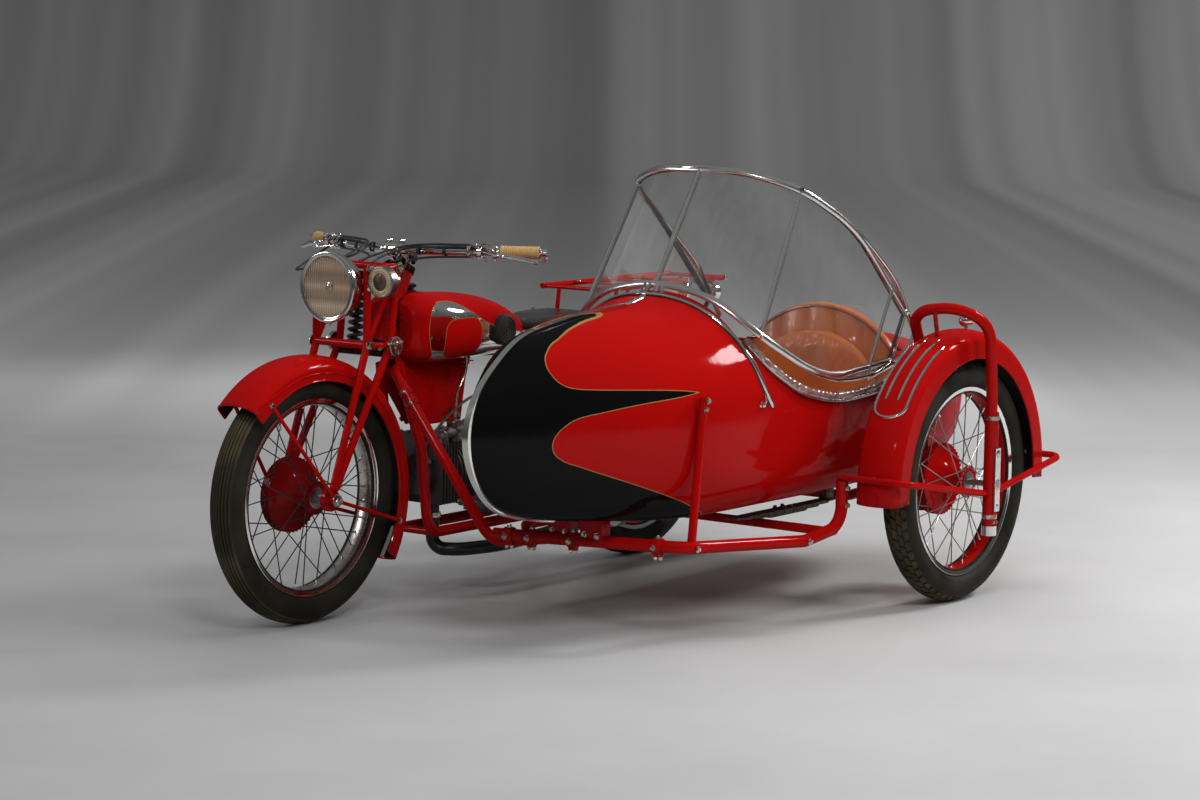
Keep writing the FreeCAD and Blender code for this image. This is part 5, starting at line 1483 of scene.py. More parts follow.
def make_horn():
    """The horn's pierced ring, its holes drawn as dark discs of painted shade, and the dark mesh in
    the middle.
    """
    centre = mm(1299, 140, 876)
    ring = Shape()
    ring.lathe([(0.0230, 0.0000), (0.0225, 0.0022), (0.0242, 0.0034), (0.0330, 0.0034),
                (0.0350, 0.0020),
                (0.0345, -0.0010)], centre, X, 64)
    for radius, count in ((0.0365, 18), (0.0240, 14)):
        for turn in rounds(count):
            out = Y * math.cos(turn) + Z * math.sin(turn)
            spot = centre + out * radius + X * 0.0028
            ring.lathe([(0, 0), (0.0014, 0), (0.0010, 0.0010), (0, 0.0013)], spot, X, 8)
    ring.done("horn_ring", ivory, "steering")
    # Painted shade: flat dark discs on the ring stand for the holes
    hole_shade_discs = Shape()
    for radius, count, size in ((0.0312, 32, 0.0012), (0.0276, 28, 0.0012)):
        for turn in rounds(count):
            out = Y * math.cos(turn) + Z * math.sin(turn)
            hole_shade_discs.lathe([(size, 0), (0, 0.0002)], centre + out * radius + X * 0.00355, X, 8)
    hole_shade_discs.done("horn_hole_shade", black_iron, "steering")
    mesh = Shape()
    mesh.lathe([(0.0226, 0.0008), (0.0170, 0.0022), (0.0090, 0.0032), (0, 0.0036)], centre, X, 40)
    for turn in rounds(10):
        out = Y * math.cos(turn) + Z * math.sin(turn)
        mesh.tube([centre + out * 0.0205 + X * 0.0018, centre + out * 0.012 + X * 0.0032,
                   centre + out * 0.005 + X * 0.0040], 0.0007, 6)
    mesh.done("horn_mesh", bronze_mesh, "steering")


def make_grips():
    """Ribbed rubber grips with their end caps."""
    rubber_part = Shape()
    ends = Shape()
    for side in (1, -1):
        inner = mm(1012, side * 270, 946)
        outer = mm(942, side * 397, 946)
        along = (outer - inner).normalized()
        start = inner + along * 0.026
        profile = [(0.0114, 0.0), (0.0160, 0.0), (0.0165, 0.0020), (0.0165, 0.0070),
                   (0.0150, 0.0085)]
        for i in range(15):
            foot = 0.0095 + 0.0056 * i
            profile += [(0.0149, foot), (0.0160, foot + 0.0012), (0.0160, foot + 0.0036),
                        (0.0149, foot + 0.0048)]
        profile += [(0.0160, 0.0950), (0.0165, 0.0965), (0.0160, 0.1000), (0.0114, 0.1000)]
        rubber_part.lathe(profile, start, along, 32, loop=True)
        ends.lathe([(0.0113, 0.1000), (0.0140, 0.1002), (0.0148, 0.1030), (0.0120, 0.1060),
                    (0, 0.1068)], start, along, 28)
    rubber_part.done("grips_ribbed", grip_rubber, "steering", ("grips",))
    ends.done("grip_ends", chrome, "steering")


def make_controls():
    """Clamps, small levers, lever blades, the bar's clamp bolts and the damper knob."""
    metal = Shape()
    cables = Shape()
    for side in (1, -1):
        inner = mm(1012, side * 270, 946)
        outer = mm(942, side * 397, 946)
        along = (outer - inner).normalized()
        ahead = along.cross(Z).normalized()
        if ahead.x < 0:
            ahead = -ahead
        root = inner + along * 0.008
        for spot, wide, radius in ((root + along * 0.003, 0.012, 0.0182),
                                   (inner - along * 0.030, 0.012, 0.0150),
                                   (inner - along * 0.058, 0.010, 0.0145)):
            metal.lathe([(0.0112, -wide / 2), (radius - 0.001, -wide / 2),
                         (radius, -wide / 2 + 0.001),
                         (radius, wide / 2 - 0.001), (radius - 0.001, wide / 2),
                         (0.0112, wide / 2)],
                        spot, along, 28, loop=True)
        # The perch, the blade and its ball end
        pivot = root + along * 0.008 + ahead * 0.020
        metal.box(pivot - ahead * 0.004, (0.018, 0.014, 0.012), edge=0.002)
        metal.bolt(pivot + Z * 0.0062, Z, 0.0050, 0.0035)
        second = root + along * 0.022 + ahead * 0.041 - Z * 0.008
        third = second + along * 0.100 - Z * 0.014
        blade = smoothed([pivot, second, second + along * 0.035 - Z * 0.002, third], 8)
        last = len(blade) - 1
        widths = [0.0047 + 0.0010 * math.sin(math.pi * i / last) for i in range(len(blade))]
        metal.tube(blade, widths, 10)
        metal.lathe([(0, -0.0070), (0.0045, -0.0055), (0.0068, 0), (0.0045, 0.0055), (0, 0.0070)],
                    third - along * 0.0075, along, 16)
        # Throttle and spark levers with their rings and thumb ends
        hub = inner - along * 0.030
        for rise, reach, lean in ((0.016, 0.052, 0.2), (-0.014, 0.044, -0.5)):
            foot = hub + Z * rise
            metal.lathe([(0, 0), (0.0120, 0), (0.0130, 0.0015), (0.0120, 0.0040), (0.0050, 0.0055),
                         (0, 0.0060)], foot, Z * math.copysign(1, rise), 24)
            tip = foot - ahead * reach * lean + along * reach * 0.6 + ahead * reach * 0.7
            tip += Z * math.copysign(0.004, rise)
            arm = smoothed([foot, foot * 0.5 + tip * 0.5 + Z * 0.003, tip], 6)
            metal.tube(arm, [0.0034 - 0.0010 * i / (len(arm) - 1) for i in range(len(arm))], 8)
            metal.lathe([(0, -0.004), (0.0032, -0.003), (0.0045, 0), (0.0032, 0.003), (0, 0.004)],
                        tip, along, 12)
        metal.bolt(inner - along * 0.058 + ahead * 0.0145, ahead, 0.0045, 0.005)
        metal.bolt(root + along * 0.003 - Z * 0.0180, -Z, 0.0045, 0.005)
        # The inverted lever at the bar's tip
        end = outer - along * 0.001
        drop = smoothed([end - along * 0.006, end - Z * 0.012, end - Z * 0.026 - along * 0.006], 5)
        metal.tube(drop, [0.0048 - 0.0014 * i / (len(drop) - 1) for i in range(len(drop))], 8)
        metal.lathe([(0, -0.004), (0.0034, -0.003), (0.0046, 0), (0.0034, 0.003), (0, 0.004)],
                    drop[-1], Z, 12)
        # Control cables clipped along the bar
        lines = (
            (pivot - along * 0.010, ((1039, 214, 955), (1066, 128, 953), (1104, 70, 949),
                                     (1176, 46, 932),
                                     (1236, 60, 918))),
            (hub - along * 0.012 + Z * 0.016, ((1040, 190, 961), (1065, 110, 959), (1120, 62, 953),
                                               (1210, 40, 934), (1258, 34, 922))),
            (hub - along * 0.010 - Z * 0.014, ((1040, 200, 930), (1062, 120, 926), (1096, 74, 918),
                                               (1140, 84, 900), (1176, 96, 880))),
        )
        for start, way in lines:
            line = smoothed([start] + [mm(x, side * y, z) for x, y, z in way], 7)
            cables.tube(line, 0.0030, 8)
            metal.lathe([(0.0031, -0.007), (0.0044, -0.006), (0.0044, 0.006), (0.0031, 0.007)],
                        line[0] + (line[1] - line[0]).normalized() * 0.006,
                        (line[1] - line[0]).normalized(), 12)
        for y in (215, 150, 80):
            clip = mm(1012 + (270 - y) * 0.31, side * y, 945 - (270 - y) * 0.012)
            cables.lathe([(0.0112, -0.004), (0.0128, -0.004), (0.0128, 0.004), (0.0112, 0.004)],
                         clip, Y, 20, loop=True)
    loop_line = smoothed([mm(1030, -262, 936), mm(1096, -262, 910), mm(1180, -232, 892),
                          mm(1252, -186, 886),
                          mm(1262, -132, 896), mm(1222, -92, 906), mm(1186, -80, 893)], 8)
    cables.tube(loop_line, 0.0032, 8)
    for side in (1, -1):
        spot = mm(1072, side * 22, 959)
        metal.bolt(spot, Z, 0.0075, 0.007)
        metal.lathe([(0.0112, -0.009), (0.0195, -0.009), (0.0200, -0.008), (0.0200, 0.008),
                     (0.0195, 0.009), (0.0112, 0.009)], mm(1072, side * 22, 940), Y, 28, loop=True)
    cables.done("control_cables", black_rubber, "steering")
    metal.done("bar_controls", chrome, "steering")
    rake = math.radians(27.0)
    up = Vector((-math.sin(rake), 0, math.cos(rake)))
    height = 0.880 + 0.0007
    foot = at(1.493 - height * math.tan(rake), 0, height) + up * 0.044
    knob = Shape()
    profile = [(0.024, -0.006), (0.0262, -0.004), (0.0262, 0.004), (0.0250, 0.008), (0.020, 0.0125),
               (0.011, 0.0155), (0, 0.0165)]
    knob.lathe(profile, foot, up, 36)
    u, v = spin_axes(foot, foot + up)[1:]
    for turn in rounds(18):
        spot = foot + (u * math.cos(turn) + v * math.sin(turn)) * 0.0258
        knob.tube([spot - up * 0.005, spot + up * 0.004], 0.0022, 6)
    knob.done("damper_knob", black_rubber, "steering")


def make_fork_parts():
    """The fork spring, damper discs and link nuts."""
    foot, top = mm(1235.3, 0, 710.5), mm(1214, 0, 876)
    spring = Shape()
    coil(spring, foot + (top - foot) * 0.03, top - (top - foot) * 0.03, 0.0172, 0.0046, 8.5, 20)
    axis = (top - foot).normalized()
    for spot, way in ((foot, axis), (top, -axis)):
        spring.lathe([(0, 0), (0.0215, 0), (0.0215, 0.003), (0.0150, 0.0055), (0.0080, 0.0055),
                      (0, 0.0055)],
                     spot, way, 32)
    spring.rod(foot, top, 0.0062, 12)
    spring.done("fork_coil", black_steel, "steering", ("fork_spring",))
    metal = Shape()
    for side in (1, -1):
        low = mm(1196, side * 97.5, 702)
        out = Y * side
        metal.lathe([(0, 0), (0.0245, 0), (0.0255, 0.0015), (0.0255, 0.0045), (0.0225, 0.0050),
                     (0.0225, 0.0070), (0.0255, 0.0075), (0.0255, 0.0105), (0.0240, 0.0120),
                     (0.0120, 0.0130), (0.0100, 0.0200), (0, 0.0205)], low, out, 36)
        for turn in rounds(3, 0.4):
            way = upright(turn)
            metal.rod(low + out * 0.0165, low + out * 0.0165 + way * 0.021, 0.0036, 10)
        for x, z in ((1287, 905), (1287, 710), (1172, 903)):
            metal.bolt(mm(x, side * 96.2, z), out, 0.0105, 0.008)
        metal.bolt(mm(1236, side * 86.5, 703), out, 0.0085, 0.006)
    metal.done("fork_bolts", dull_chrome, "steering")


make_headlamp()
make_horn()
make_grips()
make_controls()
make_fork_parts()


# Tank, engine and rear
def make_tank_fittings():
    """The knurled filler cap and the ribbed knee pads."""
    cap = Shape()
    foot = mm(970, -52, 812)
    profile = [(0.0270, -0.006), (0.0285, -0.004), (0.0285, 0.010), (0.0240, 0.0130),
               (0.0215, 0.0135),
               (0.0215, 0.0185), (0.0260, 0.0195), (0.0270, 0.0210), (0.0270, 0.0270),
               (0.0250, 0.0290),
               (0.0120, 0.0305), (0.0060, 0.0315), (0, 0.0318)]
    cap.lathe(profile, foot, Z, 40)
    for turn in rounds(20):
        spot = foot + (X * math.cos(turn) + Y * math.sin(turn)) * 0.0268
        cap.tube([spot + Z * 0.021, spot + Z * 0.027], 0.0020, 6)
    cap.done("filler_cap_knurled", black_steel, "outfit", ("filler_cap",))
    pads = Shape()
    for side in (1, -1):
        foot = mm(770, side * 96, 716)
        profile = [(0.0385, 0.010), (0.0415, 0.016), (0.0420, 0.034), (0.0400, 0.0395)]
        for r in (0.0340, 0.0265, 0.0190, 0.0115):
            profile += [(r + 0.0035, 0.0400), (r + 0.0022, 0.0418), (r - 0.0010, 0.0418),
                        (r - 0.0022, 0.0400)]
        profile += [(0.0050, 0.0400), (0.0045, 0.0420), (0, 0.0420)]
        pads.lathe(profile, foot, Y * side, 56)
    pads.done("knee_pads_ribbed", black_rubber, "outfit", ("knee_pads",))


def make_engine_details():
    """Screws, springs, the plug, the carburettor's caps and pipes on the engine."""
    metal = Shape()
    dark = Shape()
    crank = mm(660, -78, 335)
    for k in range(6):
        turn = math.radians(20 + 60 * k)
        spot = crank + upright(turn) * 0.096 - Y * 0.005
        metal.lathe([(0, 0), (0.0062, 0), (0.0055, 0.0022), (0.0016, 0.0024), (0, 0.0010)], spot,
                    -Y, 16)
    for x, z in ((545, 290), (575, 405), (470, 405), (420, 300), (500, 262)):
        metal.bolt(mm(x, -47, z), -Y, 0.0060, 0.005)
        metal.bolt(mm(x, 47, z), Y, 0.0060, 0.005)
    metal.lathe([(0, 0), (0.022, 0), (0.024, 0.002), (0.022, 0.005), (0.008, 0.007), (0, 0.0072)],
                crank - Y * 0.0210, -Y, 32)
    for y in (-66, -42, -18, 6):
        for x in (909, 968):
            metal.bolt(mm(x, y, 443), Z, 0.0045, 0.005)
    for y in (-52, -16):
        foot, top = mm(892, y, 414), mm(926, y, 414)
        coil(metal, foot, top, 0.0085, 0.0016, 6, 12)
        dark.rod(mm(778.6, y, 335 + math.sqrt(88 ** 2 - y * y)),
                 mm(786.6, y, 335 + math.sqrt(88 ** 2 - y * y)), 0.0105, 16)
    plug_foot = mm(986.8, 40, 372)
    metal.bolt(plug_foot, X, 0.0110, 0.009)
    white = Shape()
    white.lathe([(0.0058, 0.009), (0.0062, 0.012), (0.0050, 0.016), (0.0058, 0.019),
                 (0.0046, 0.024),
                 (0.0052, 0.028), (0.0038, 0.034), (0, 0.035)], plug_foot, X, 16)
    white.done("plug_insulator", ivory, "outfit")
    lead = smoothed([mm(648, 40, 520), mm(720, 52, 544), mm(820, 60, 536), mm(920, 66, 500),
                     mm(1000, 62, 440), mm(1030, 48, 392), mm(1021, 40, 373)], 8)
    dark.tube(lead, 0.0038, 8)
    magneto_z = 335 + math.sqrt((118 + 44.3) ** 2 - 60 ** 2)
    for side in (1, -1):
        face = mm(600, side * 50, magneto_z)
        dark.lathe([(0, 0), (0.040, 0), (0.040, 0.004), (0.034, 0.007), (0.018, 0.009),
                    (0, 0.0095)],
                   face, Y * side, 36)
        for turn in rounds(3, 0.5):
            spot = face + upright(turn) * 0.035 + Y * side * 0.006
            metal.bolt(spot, Y * side, 0.0034, 0.003)
    carb_x = 942.6
    top = 421.3
    for dx, r in ((0, 0.0175), (-50, 0.0215)):
        spot = mm(carb_x + dx, 56, top + (34 if dx == 0 else 52))
        metal.lathe([(0, 0), (r, 0), (r, 0.003), (r - 0.004, 0.005), (0.006, 0.006), (0.005, 0.012),
                     (0, 0.0125)], spot, Z, 28)
    mouth = mm(carb_x - 70, 56, top + 24)
    metal.lathe([(0.0130, 0), (0.0180, 0), (0.0215, 0.012), (0.0225, 0.018), (0.0215, 0.0185),
                 (0.0150, 0.008)], mouth, -X, 32, loop=True)
    feed = smoothed([mm(carb_x - 50, 56, top + 58), mm(carb_x - 48, 62, top + 84), mm(900, 74, 556),
                     mm(884, 84, 600), mm(880, 88, 640)], 7)
    metal.tube(feed, 0.0032, 8)
    tap = mm(880, 88, 640)
    metal.lathe([(0, -0.012), (0.0062, -0.010), (0.0062, 0.004), (0.0090, 0.005), (0.0090, 0.012),
                 (0.0050, 0.013), (0.0050, 0.026), (0, 0.026)], tap, Z, 16)
    metal.rod(tap + Y * 0.004, tap + Y * 0.020, 0.0022, 8)
    oil = smoothed([mm(540, -62, 228), mm(560, -66, 214), mm(640, -84, 206), mm(740, -86, 232),
                    mm(770, -70, 268)], 7)
    metal.tube(oil, 0.0035, 8)
    for x, z in ((1094, 604), (1012, 486), (842, 486), (812, 628), (1080, 690)):
        for side in (1, -1):
            metal.bolt(mm(x, side * 26, z), Y * side, 0.0062, 0.0055)
    metal.done("engine_fittings", dull_chrome, "outfit")
    dark.done("engine_leads", black_iron, "outfit")
    bands = Shape()
    can_dir = Vector((-490, 0, 34)).normalized()
    start = mm(300, 148, 166)
    for run in (0.002, 0.030, 0.470):
        bands.lathe([(0.0378, -0.005), (0.0395, -0.004), (0.0395, 0.004), (0.0378, 0.005)],
                    start + can_dir * run, can_dir, 44, loop=True)
    end = start + can_dir * 0.491
    bands.lathe([(0.0378, -0.006), (0.0330, 0.0005), (0.0180, 0.0015), (0.0170, -0.010),
                 (0, -0.012)],
                end, can_dir, 44)
    bands.lathe([(0.0182, -0.006), (0.0225, -0.006), (0.0225, 0.006), (0.0182, 0.006)],
                mm(942.6, 24, 226), Vector((0, 0, -1)), 32, loop=True)
    bands.done("silencer_bands", dull_chrome, "outfit")


def make_rear_details():
    """Bullet lamps with ruby glass, footrest rubbers, rack nuts and strap studs."""
    shells = Shape()
    glass = Shape()
    for side in (1, -1):
        front = mm(-276, side * 52, 748)
        profile = [(0, 0.0005), (0.0080, 0.0015), (0.0170, 0.0055), (0.0250, 0.0130),
                   (0.0292, 0.0220),
                   (0.0305, 0.0330), (0.0310, 0.0345), (0.0310, 0.0415), (0.0285, 0.0430),
                   (0.0270, 0.0430)]
        shells.lathe(profile, front, -X, 48)
        glass.lathe([(0.0275, 0.0420), (0.0265, 0.0445), (0.0200, 0.0465), (0.0100, 0.0477),
                     (0, 0.0480)],
                    front, -X, 48)
        shells.tube([mm(-300, side * 52, 776), mm(-300, side * 52, 786)], 0.0052, 12)
        shells.lathe([(0, 0), (0.0110, 0), (0.0100, 0.004), (0.0052, 0.007), (0, 0.007)],
                     mm(-300, side * 52, 777.5), Z, 20)
    shells.done("rear_lamp_shells", chrome, "outfit", ("rear_lamps",))
    glass.done("rear_lamp_glass", ruby, "outfit")
    lamp_turn = math.radians(97.0)
    way = upright(lamp_turn)
    lamp = side_guard[0] + way * 0.427
    trim = Shape()
    for ahead in (0.014, -0.016):
        trim.lathe([(0.0128, -0.002), (0.0142, -0.001), (0.0142, 0.003), (0.0128, 0.004)],
                   lamp + X * ahead, X, 28, loop=True)
    trim.done("guard_lamp_rings", chrome, "outfit")
    end = Shape()
    end.lathe([(0.0125, 0), (0.0115, 0.003), (0.0070, 0.006), (0, 0.0072)], lamp - X * 0.018, -X,
              24)
    end.done("guard_lamp_glass", ruby, "outfit")
    rests = Shape()
    for side in (1, -1):
        foot = mm(520, side * 79, 185)
        tip = mm(520, side * 183, 207)
        along = (tip - foot).normalized()
        profile = [(0.0091, 0.022), (0.0125, 0.022)]
        for i in range(9):
            run = 0.025 + 0.0082 * i
            profile += [(0.0112, run), (0.0130, run + 0.0015), (0.0130, run + 0.0055),
                        (0.0112, run + 0.0070)]
        profile += [(0.0125, 0.1005), (0.0091, 0.1015)]
        rests.lathe(profile, foot, along, 28, loop=True)
        if side < 0:
            rests.lathe([(0.0091, 0.012), (0.0120, 0.012), (0.0125, 0.016), (0.0125, 0.048),
                         (0.0110, 0.0515), (0.0091, 0.0515)], mm(400, -128, 470), -Y, 24, loop=True)
    rests.done("footrest_rubbers", black_rubber, "outfit")
    nuts = Shape()
    for side in (1, -1):
        for x in (160, 20):
            nuts.lathe([(0, 0), (0.0062, 0), (0.0050, 0.0028), (0, 0.0036)],
                       mm(x, side * 84, 797.5), Z, 16)
        for x, z in ((-110, 792), (230, 792), (-300, 792)):
            nuts.lathe([(0, 0), (0.0075, 0), (0.0070, 0.0035), (0.0030, 0.0055), (0, 0.0060)],
                       mm(x, side * 107.5, z), Y * side, 18)
        nuts.bolt(mm(0, side * 126, 327), Y * side, 0.0135, 0.010)
        nuts.bolt(mm(345, side * 108, 588), Y * side, 0.0060, 0.005)
    nuts.bolt(mm(-16, 112, 335), Y, 0.0060, 0.005)
    nuts.done("rack_nuts", dull_chrome, "outfit")


def make_chassis_details():
    """Clamps and bright bolts, the leaf springs and the strut's nuts and knob."""
    bolts = Shape()
    # Open ends of the front tubes; dark discs in them are painted shade for the hollow inside
    caps = Shape()
    for end, before, radius in ((mm(1150, 400, 240), mm(1060, 931, 250), 0.016),
                                (mm(1112, 480, 242), mm(930, 330, 230), 0.014),
                                (mm(-120, 330, 230), mm(930, 330, 230), 0.014)):
        out = (end - before).normalized()
        caps.lathe([(radius - 0.004, 0.0003), (0, 0.0005)], end, out, 28)
        bolts.lathe([(radius - 0.004, 0.0002), (radius - 0.002, 0.0012), (radius - 0.0004, 0.0002)],
                    end, out, 28)
    caps.done("tube_end_shade", black_iron, "outfit")
    clamps = Shape()
    outer_a, outer_b = mm(1150, 400, 240), mm(1060, 931, 250)
    outer_way = (outer_b - outer_a).normalized()
    for share in (0.08, 0.20, 0.42, 0.86):
        spot = outer_a + (outer_b - outer_a) * share
        clamps.lathe([(0.0158, -0.013), (0.0195, -0.013), (0.0205, -0.011), (0.0205, 0.011),
                      (0.0195, 0.013), (0.0158, 0.013)], spot, outer_way, 32, loop=True)
        clamps.box(spot - Z * 0.020, (0.020, 0.022, 0.014), edge=0.003)
        for x in (-0.0068, 0.0068):
            bolts.bolt(spot - Z * 0.027 + outer_way * x, -Z, 0.0048, 0.007)
        bolts.bolt(spot + X * 0.0200 - Z * 0.002, X, 0.0058, 0.007)
        bolts.bolt(spot + Z * 0.0202, Z, 0.0058, 0.006)
    brace_a, brace_b = mm(1128, 66, 598), mm(1110, 360, 207)
    brace_way = (brace_b - brace_a).normalized()
    for run in (0.030, 0.062):
        spot = brace_a + brace_way * run
        clamps.lathe([(0.0138, -0.008), (0.0178, -0.008), (0.0178, 0.008), (0.0138, 0.008)], spot,
                     brace_way, 28, loop=True)
        bolts.bolt(spot + X * 0.0176, X, 0.0065, 0.007)
    for x, y, z, dx, dy, dz in ((1036, 952, 246, 0, 1, 0), (990, 942.5, 612, 0, 1, 0),
                                (994, 939.5, 590, 0, 1, 0),
                                (478, 1034.5, 300, 0, 1, 0), (478, 1034.5, 345, 0, 1, 0),
                                (500, 1012.5, 230, 0, 1, 0), (640, 1026.5, 224, 0, 1, 0),
                                (424, 330, 244.5, 0, 0, 1), (500, 330, 244.5, 0, 0, 1)):
        bolts.bolt(mm(x, y, z), Vector((dx, dy, dz)), 0.0062, 0.006)
    for y in (560, 600, 660, 700):
        bolts.bolt(mm(1116.5, y, 262), X, 0.0060, 0.006)
    clamps.done("chassis_clamps", red_paint, "outfit")
    # Strut
    strut_y = 1215
    for z in (240, 505):
        bolts.lathe([(0.0186, -0.006), (0.0205, -0.005), (0.0205, 0.005), (0.0186, 0.006)],
                    mm(50, strut_y, z), Z, 32, loop=True)
    for x, z, size in ((50, 410, 0.0105), (50, 270, 0.0060)):
        bolts.lathe([(0, -0.004), (size, -0.004), (size, -0.0002), (size * 0.8, 0.0008),
                     (0, 0.0010)],
                    mm(x, 1237.9, z), Y, 24)
    bolts.lathe([(0.0082, -0.002), (0.0150, -0.002), (0.0150, 0.0002), (0.0100, 0.0008),
                 (0.0082, 0.0008)],
                mm(50, 1237.9, 327), Y, 32, loop=True)
    for angle_x in (-9, 9):
        bolts.bolt(mm(50 + angle_x, strut_y + 14, 225), Y, 0.0045, 0.005)
    for x, z in ((463, 372), (-333, 362)):
        bolts.bolt(mm(x, 1108, z), Z, 0.0058, 0.008)
    bolts.done("chassis_bolts", dull_chrome, "outfit")
    leaves = Shape()
    for side in (1, -1):
        y = body_mm + side * 150
        for i, (a, b) in enumerate(((640, 150), (600, 190), (540, 240), (480, 300))):
            z = 256.0 - 4.0 * i
            rows = []
            for k in range(17):
                x = a + (b - a) * k / 16
                half = 19.5 if 0 < k < 16 else 17.0
                rows.append([mm(x, y - half, z - 1.85), mm(x, y + half, z - 1.85),
                             mm(x, y + half, z + 1.75), mm(x, y - half, z + 1.75)])
            leaves.solid(rows)
        leaves.box(mm(180, y, 291), (0.034, 0.034, 0.066), edge=0.004)
        leaves.box(mm(390, y, 250), (0.050, 0.0400, 0.0158), edge=0.002)
        for x in (372, 408):
            for dy in (-15, 15):
                leaves.bolt(mm(x, y + dy, 257.5), Z, 0.0052, 0.006)
    leaves.done("leaf_packs", black_iron, "outfit", ("leaf_springs",))


make_tank_fittings()
make_engine_details()
make_rear_details()
make_chassis_details()


# Camera, floor and light
camera_from_axle = (7.4884, 5.4109, 1.5720)
camera_yaw = 0.63628
camera_pitch = 0.12137
camera_roll = 0.01413
focal_pixels = 3205.95
photo_width = 1200
sensor_width = 36.0


def make_camera():
    """The photograph's view."""
    look = -Vector((math.cos(camera_pitch) * math.cos(camera_yaw),
                    math.cos(camera_pitch) * math.sin(camera_yaw), math.sin(camera_pitch)))
    right = look.cross(Z).normalized()
    up = right.cross(look)
    c, s = math.cos(camera_roll), math.sin(camera_roll)
    across = right * c + up * s
    above = up * c - right * s
    data = bpy.data.cameras.new("camera")
    data.sensor_width = sensor_width
    data.lens = focal_pixels / photo_width * sensor_width
    data.clip_end = 200.0
    camera = bpy.data.objects.new("camera", data)
    turn = Matrix((across, above, -look)).transposed().to_4x4()
    camera.matrix_world = Matrix.Translation(at(*camera_from_axle)) @ turn
    bpy.context.scene.collection.objects.link(camera)
    bpy.context.scene.camera = camera


def area_light(name, place_at, aim, size, power, shows=True):
    """A soft box pointed at a place. One that doesn't show is left out of reflections."""
    data = bpy.data.lights.new(name, "AREA")
    data.shape = "ELLIPSE"
    data.size, data.size_y = size
    data.energy = power
    lamp = bpy.data.objects.new(name, data)
    lamp.location = place_at
    lamp.rotation_euler = (Vector(aim) - Vector(place_at)).to_track_quat("-Z", "Y").to_euler()
    lamp.visible_glossy = shows
    bpy.context.scene.collection.objects.link(lamp)


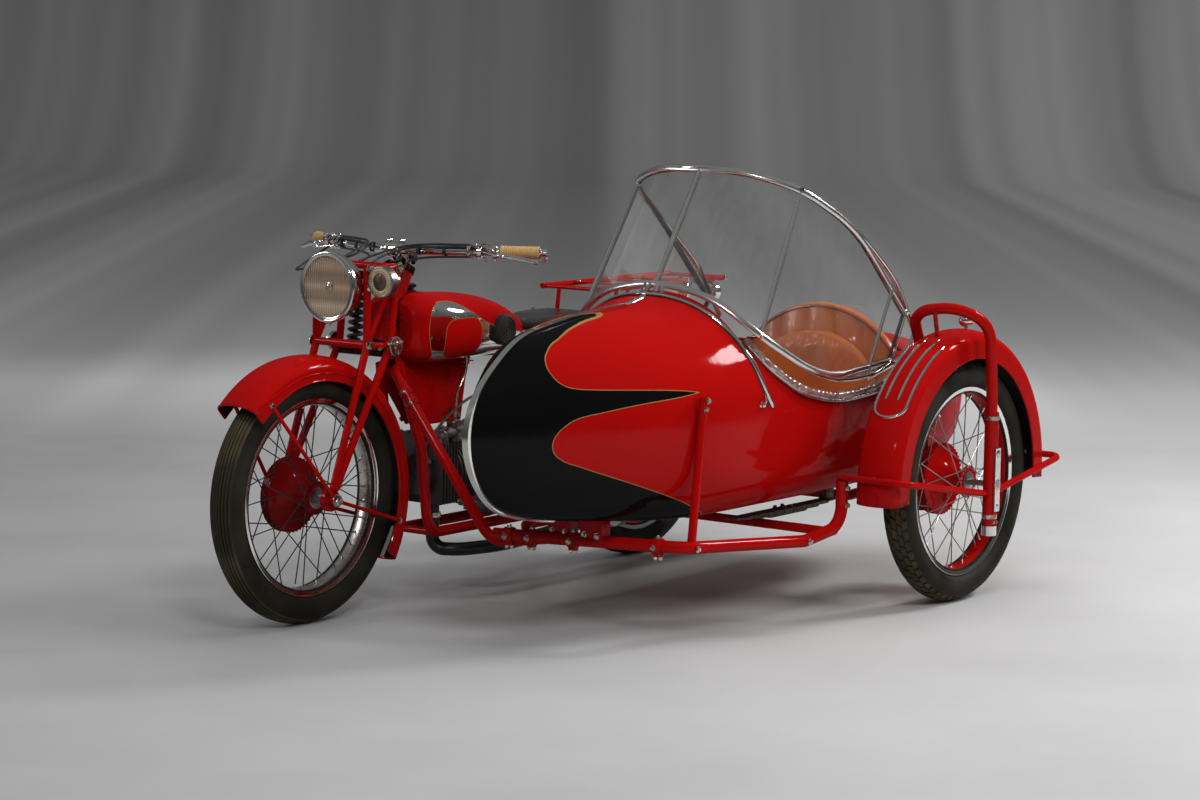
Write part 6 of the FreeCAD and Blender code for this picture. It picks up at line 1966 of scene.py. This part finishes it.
def make_floor():
    """A pale studio floor, darker far behind the object, that curves up into a grey backdrop. Floor
    and backdrop are painted lighter towards one side as painted light, and bands of painted shade
    stand for the backdrop's hanging folds.
    """
    mat = bpy.data.materials.new("studio_floor")
    mat.use_nodes = True
    tree = mat.node_tree
    shader = tree.nodes["Principled BSDF"]
    vector = place(tree)
    patches = ramp(tree, noise(tree, vector, 1.2, 6.0), 0.3, 0.75)
    away = Vector((-math.cos(camera_yaw), -math.sin(camera_yaw), 0))
    side = Vector((away.y, -away.x, 0))
    x_value, y_value, z_value = apart(tree)

    def level_run(way):
        """The distance along a level direction."""
        return math_node(tree, "ADD", math_node(tree, "MULTIPLY", x_value, way.x),
                         math_node(tree, "MULTIPLY", y_value, way.y))

    def along(way, low, high):
        """0 to 1 between two distances along a level direction."""
        return spread(tree, level_run(way), 0.0, 1.0, low, high)

    # Painted light: the floor's colour is lighter towards one side of the view
    across = along(side, -1.8, 1.8)
    base = blend_colour(tree, across, (0.37, 0.37, 0.37), (0.58, 0.58, 0.58))
    stained = blend_colour(tree, across, (0.31, 0.31, 0.31), (0.50, 0.50, 0.50))
    colour = blend_colour(tree, patches, base, stained)
    # Painted shade: darker and lighter bands along the backdrop stand for the folds of a hanging
    # cloth
    hung = node(tree, "ShaderNodeTexNoise", noise_dimensions="1D", Scale=1.1, Detail=2.0)
    tree.links.new(level_run(side), hung.inputs["W"])
    # Painted light: the backdrop is painted lighter towards the same side
    wall = blend_colour(tree, along(side, -1.0, 4.5), (0.64, 0.64, 0.65), (1.0, 1.0, 1.0))
    painted_fold_shade = blend_colour(tree, ramp(tree, hung.outputs["Fac"], 0.3, 0.7), (0.72, 0.72, 0.72),
                         (1.2, 1.2, 1.2))
    shaded = node(tree, "ShaderNodeVectorMath", operation="MULTIPLY")
    tree.links.new(wall, shaded.inputs[0])
    tree.links.new(painted_fold_shade, shaded.inputs[1])
    colour = blend_colour(tree, along(away, 3.0, 4.8), colour, shaded.outputs["Vector"])
    tree.links.new(colour, shader.inputs["Base Color"])
    shader.inputs["Roughness"].default_value = 0.85
    shader.inputs["Specular IOR Level"].default_value = 0.2
    bump(tree, shader, noise(tree, vector, 90.0, 4.0), 0.15, 0.002)
    reach = 24.0
    bend = 3.0
    rows = [(-reach, 0.0)]
    for i in range(13):
        turn = math.pi / 2 * i / 12
        rows.append((reach - bend + bend * math.sin(turn), bend - bend * math.cos(turn)))
    rows.append((reach, 12.0))
    mesh = bpy.data.meshes.new("studio_floor")
    build = bmesh.new()
    lines = [[build.verts.new(away * run + side * w + Z * rise) for w in (-reach, reach)]
             for run, rise in rows]
    for a, b in zip(lines, lines[1:]):
        build.faces.new((a[0], a[1], b[1], b[0])).smooth = True
    bmesh.ops.recalc_face_normals(build, faces=build.faces)
    build.to_mesh(mesh)
    build.free()
    floor = bpy.data.objects.new("studio_floor", mesh)
    floor.data.materials.append(mat)
    bpy.context.scene.collection.objects.link(floor)


def make_light():
    """Soft boxes in a dim grey room."""
    world = bpy.data.worlds.new("studio")
    world.use_nodes = True
    tree = world.node_tree
    background = tree.nodes["Background"]
    rise = apart(tree, "Generated")[2]
    shade = ramp(tree, rise, 0.0, 0.8, (0.12, 0.12, 0.122, 1), (0.50, 0.50, 0.50, 1))
    tree.links.new(shade, background.inputs["Color"])
    background.inputs["Strength"].default_value = 0.4
    bpy.context.scene.world = world
    aim = (0.1, 0.1, 0.4)
    area_light("key_box", (3.6, 3.4, 4.2), aim, (1.4, 1.4), 88.0, shows=False)
    area_light("glint", (5.0, 1.3, 3.2), aim, (0.34, 0.34), 30.0)
    area_light("left_box", (-0.6, 5.4, 3.2), aim, (2.6, 2.4), 92.0, shows=False)
    area_light("top_fill", (-0.3, 0.4, 4.8), aim, (4.5, 3.5), 88.0, shows=False)
    area_light("side_box", (3.4, -3.6, 2.4), aim, (0.9, 2.2), 40.0)
    area_light("rear_box", (-3.6, 2.6, 3.6), aim, (1.2, 1.2), 150.0)
    area_light("far_fill", (-3.0, -4.0, 3.0), aim, (3.0, 3.0), 34.0, shows=False)


make_camera()
make_floor()
make_light()
bpy.context.scene.view_settings.view_transform = "Standard"
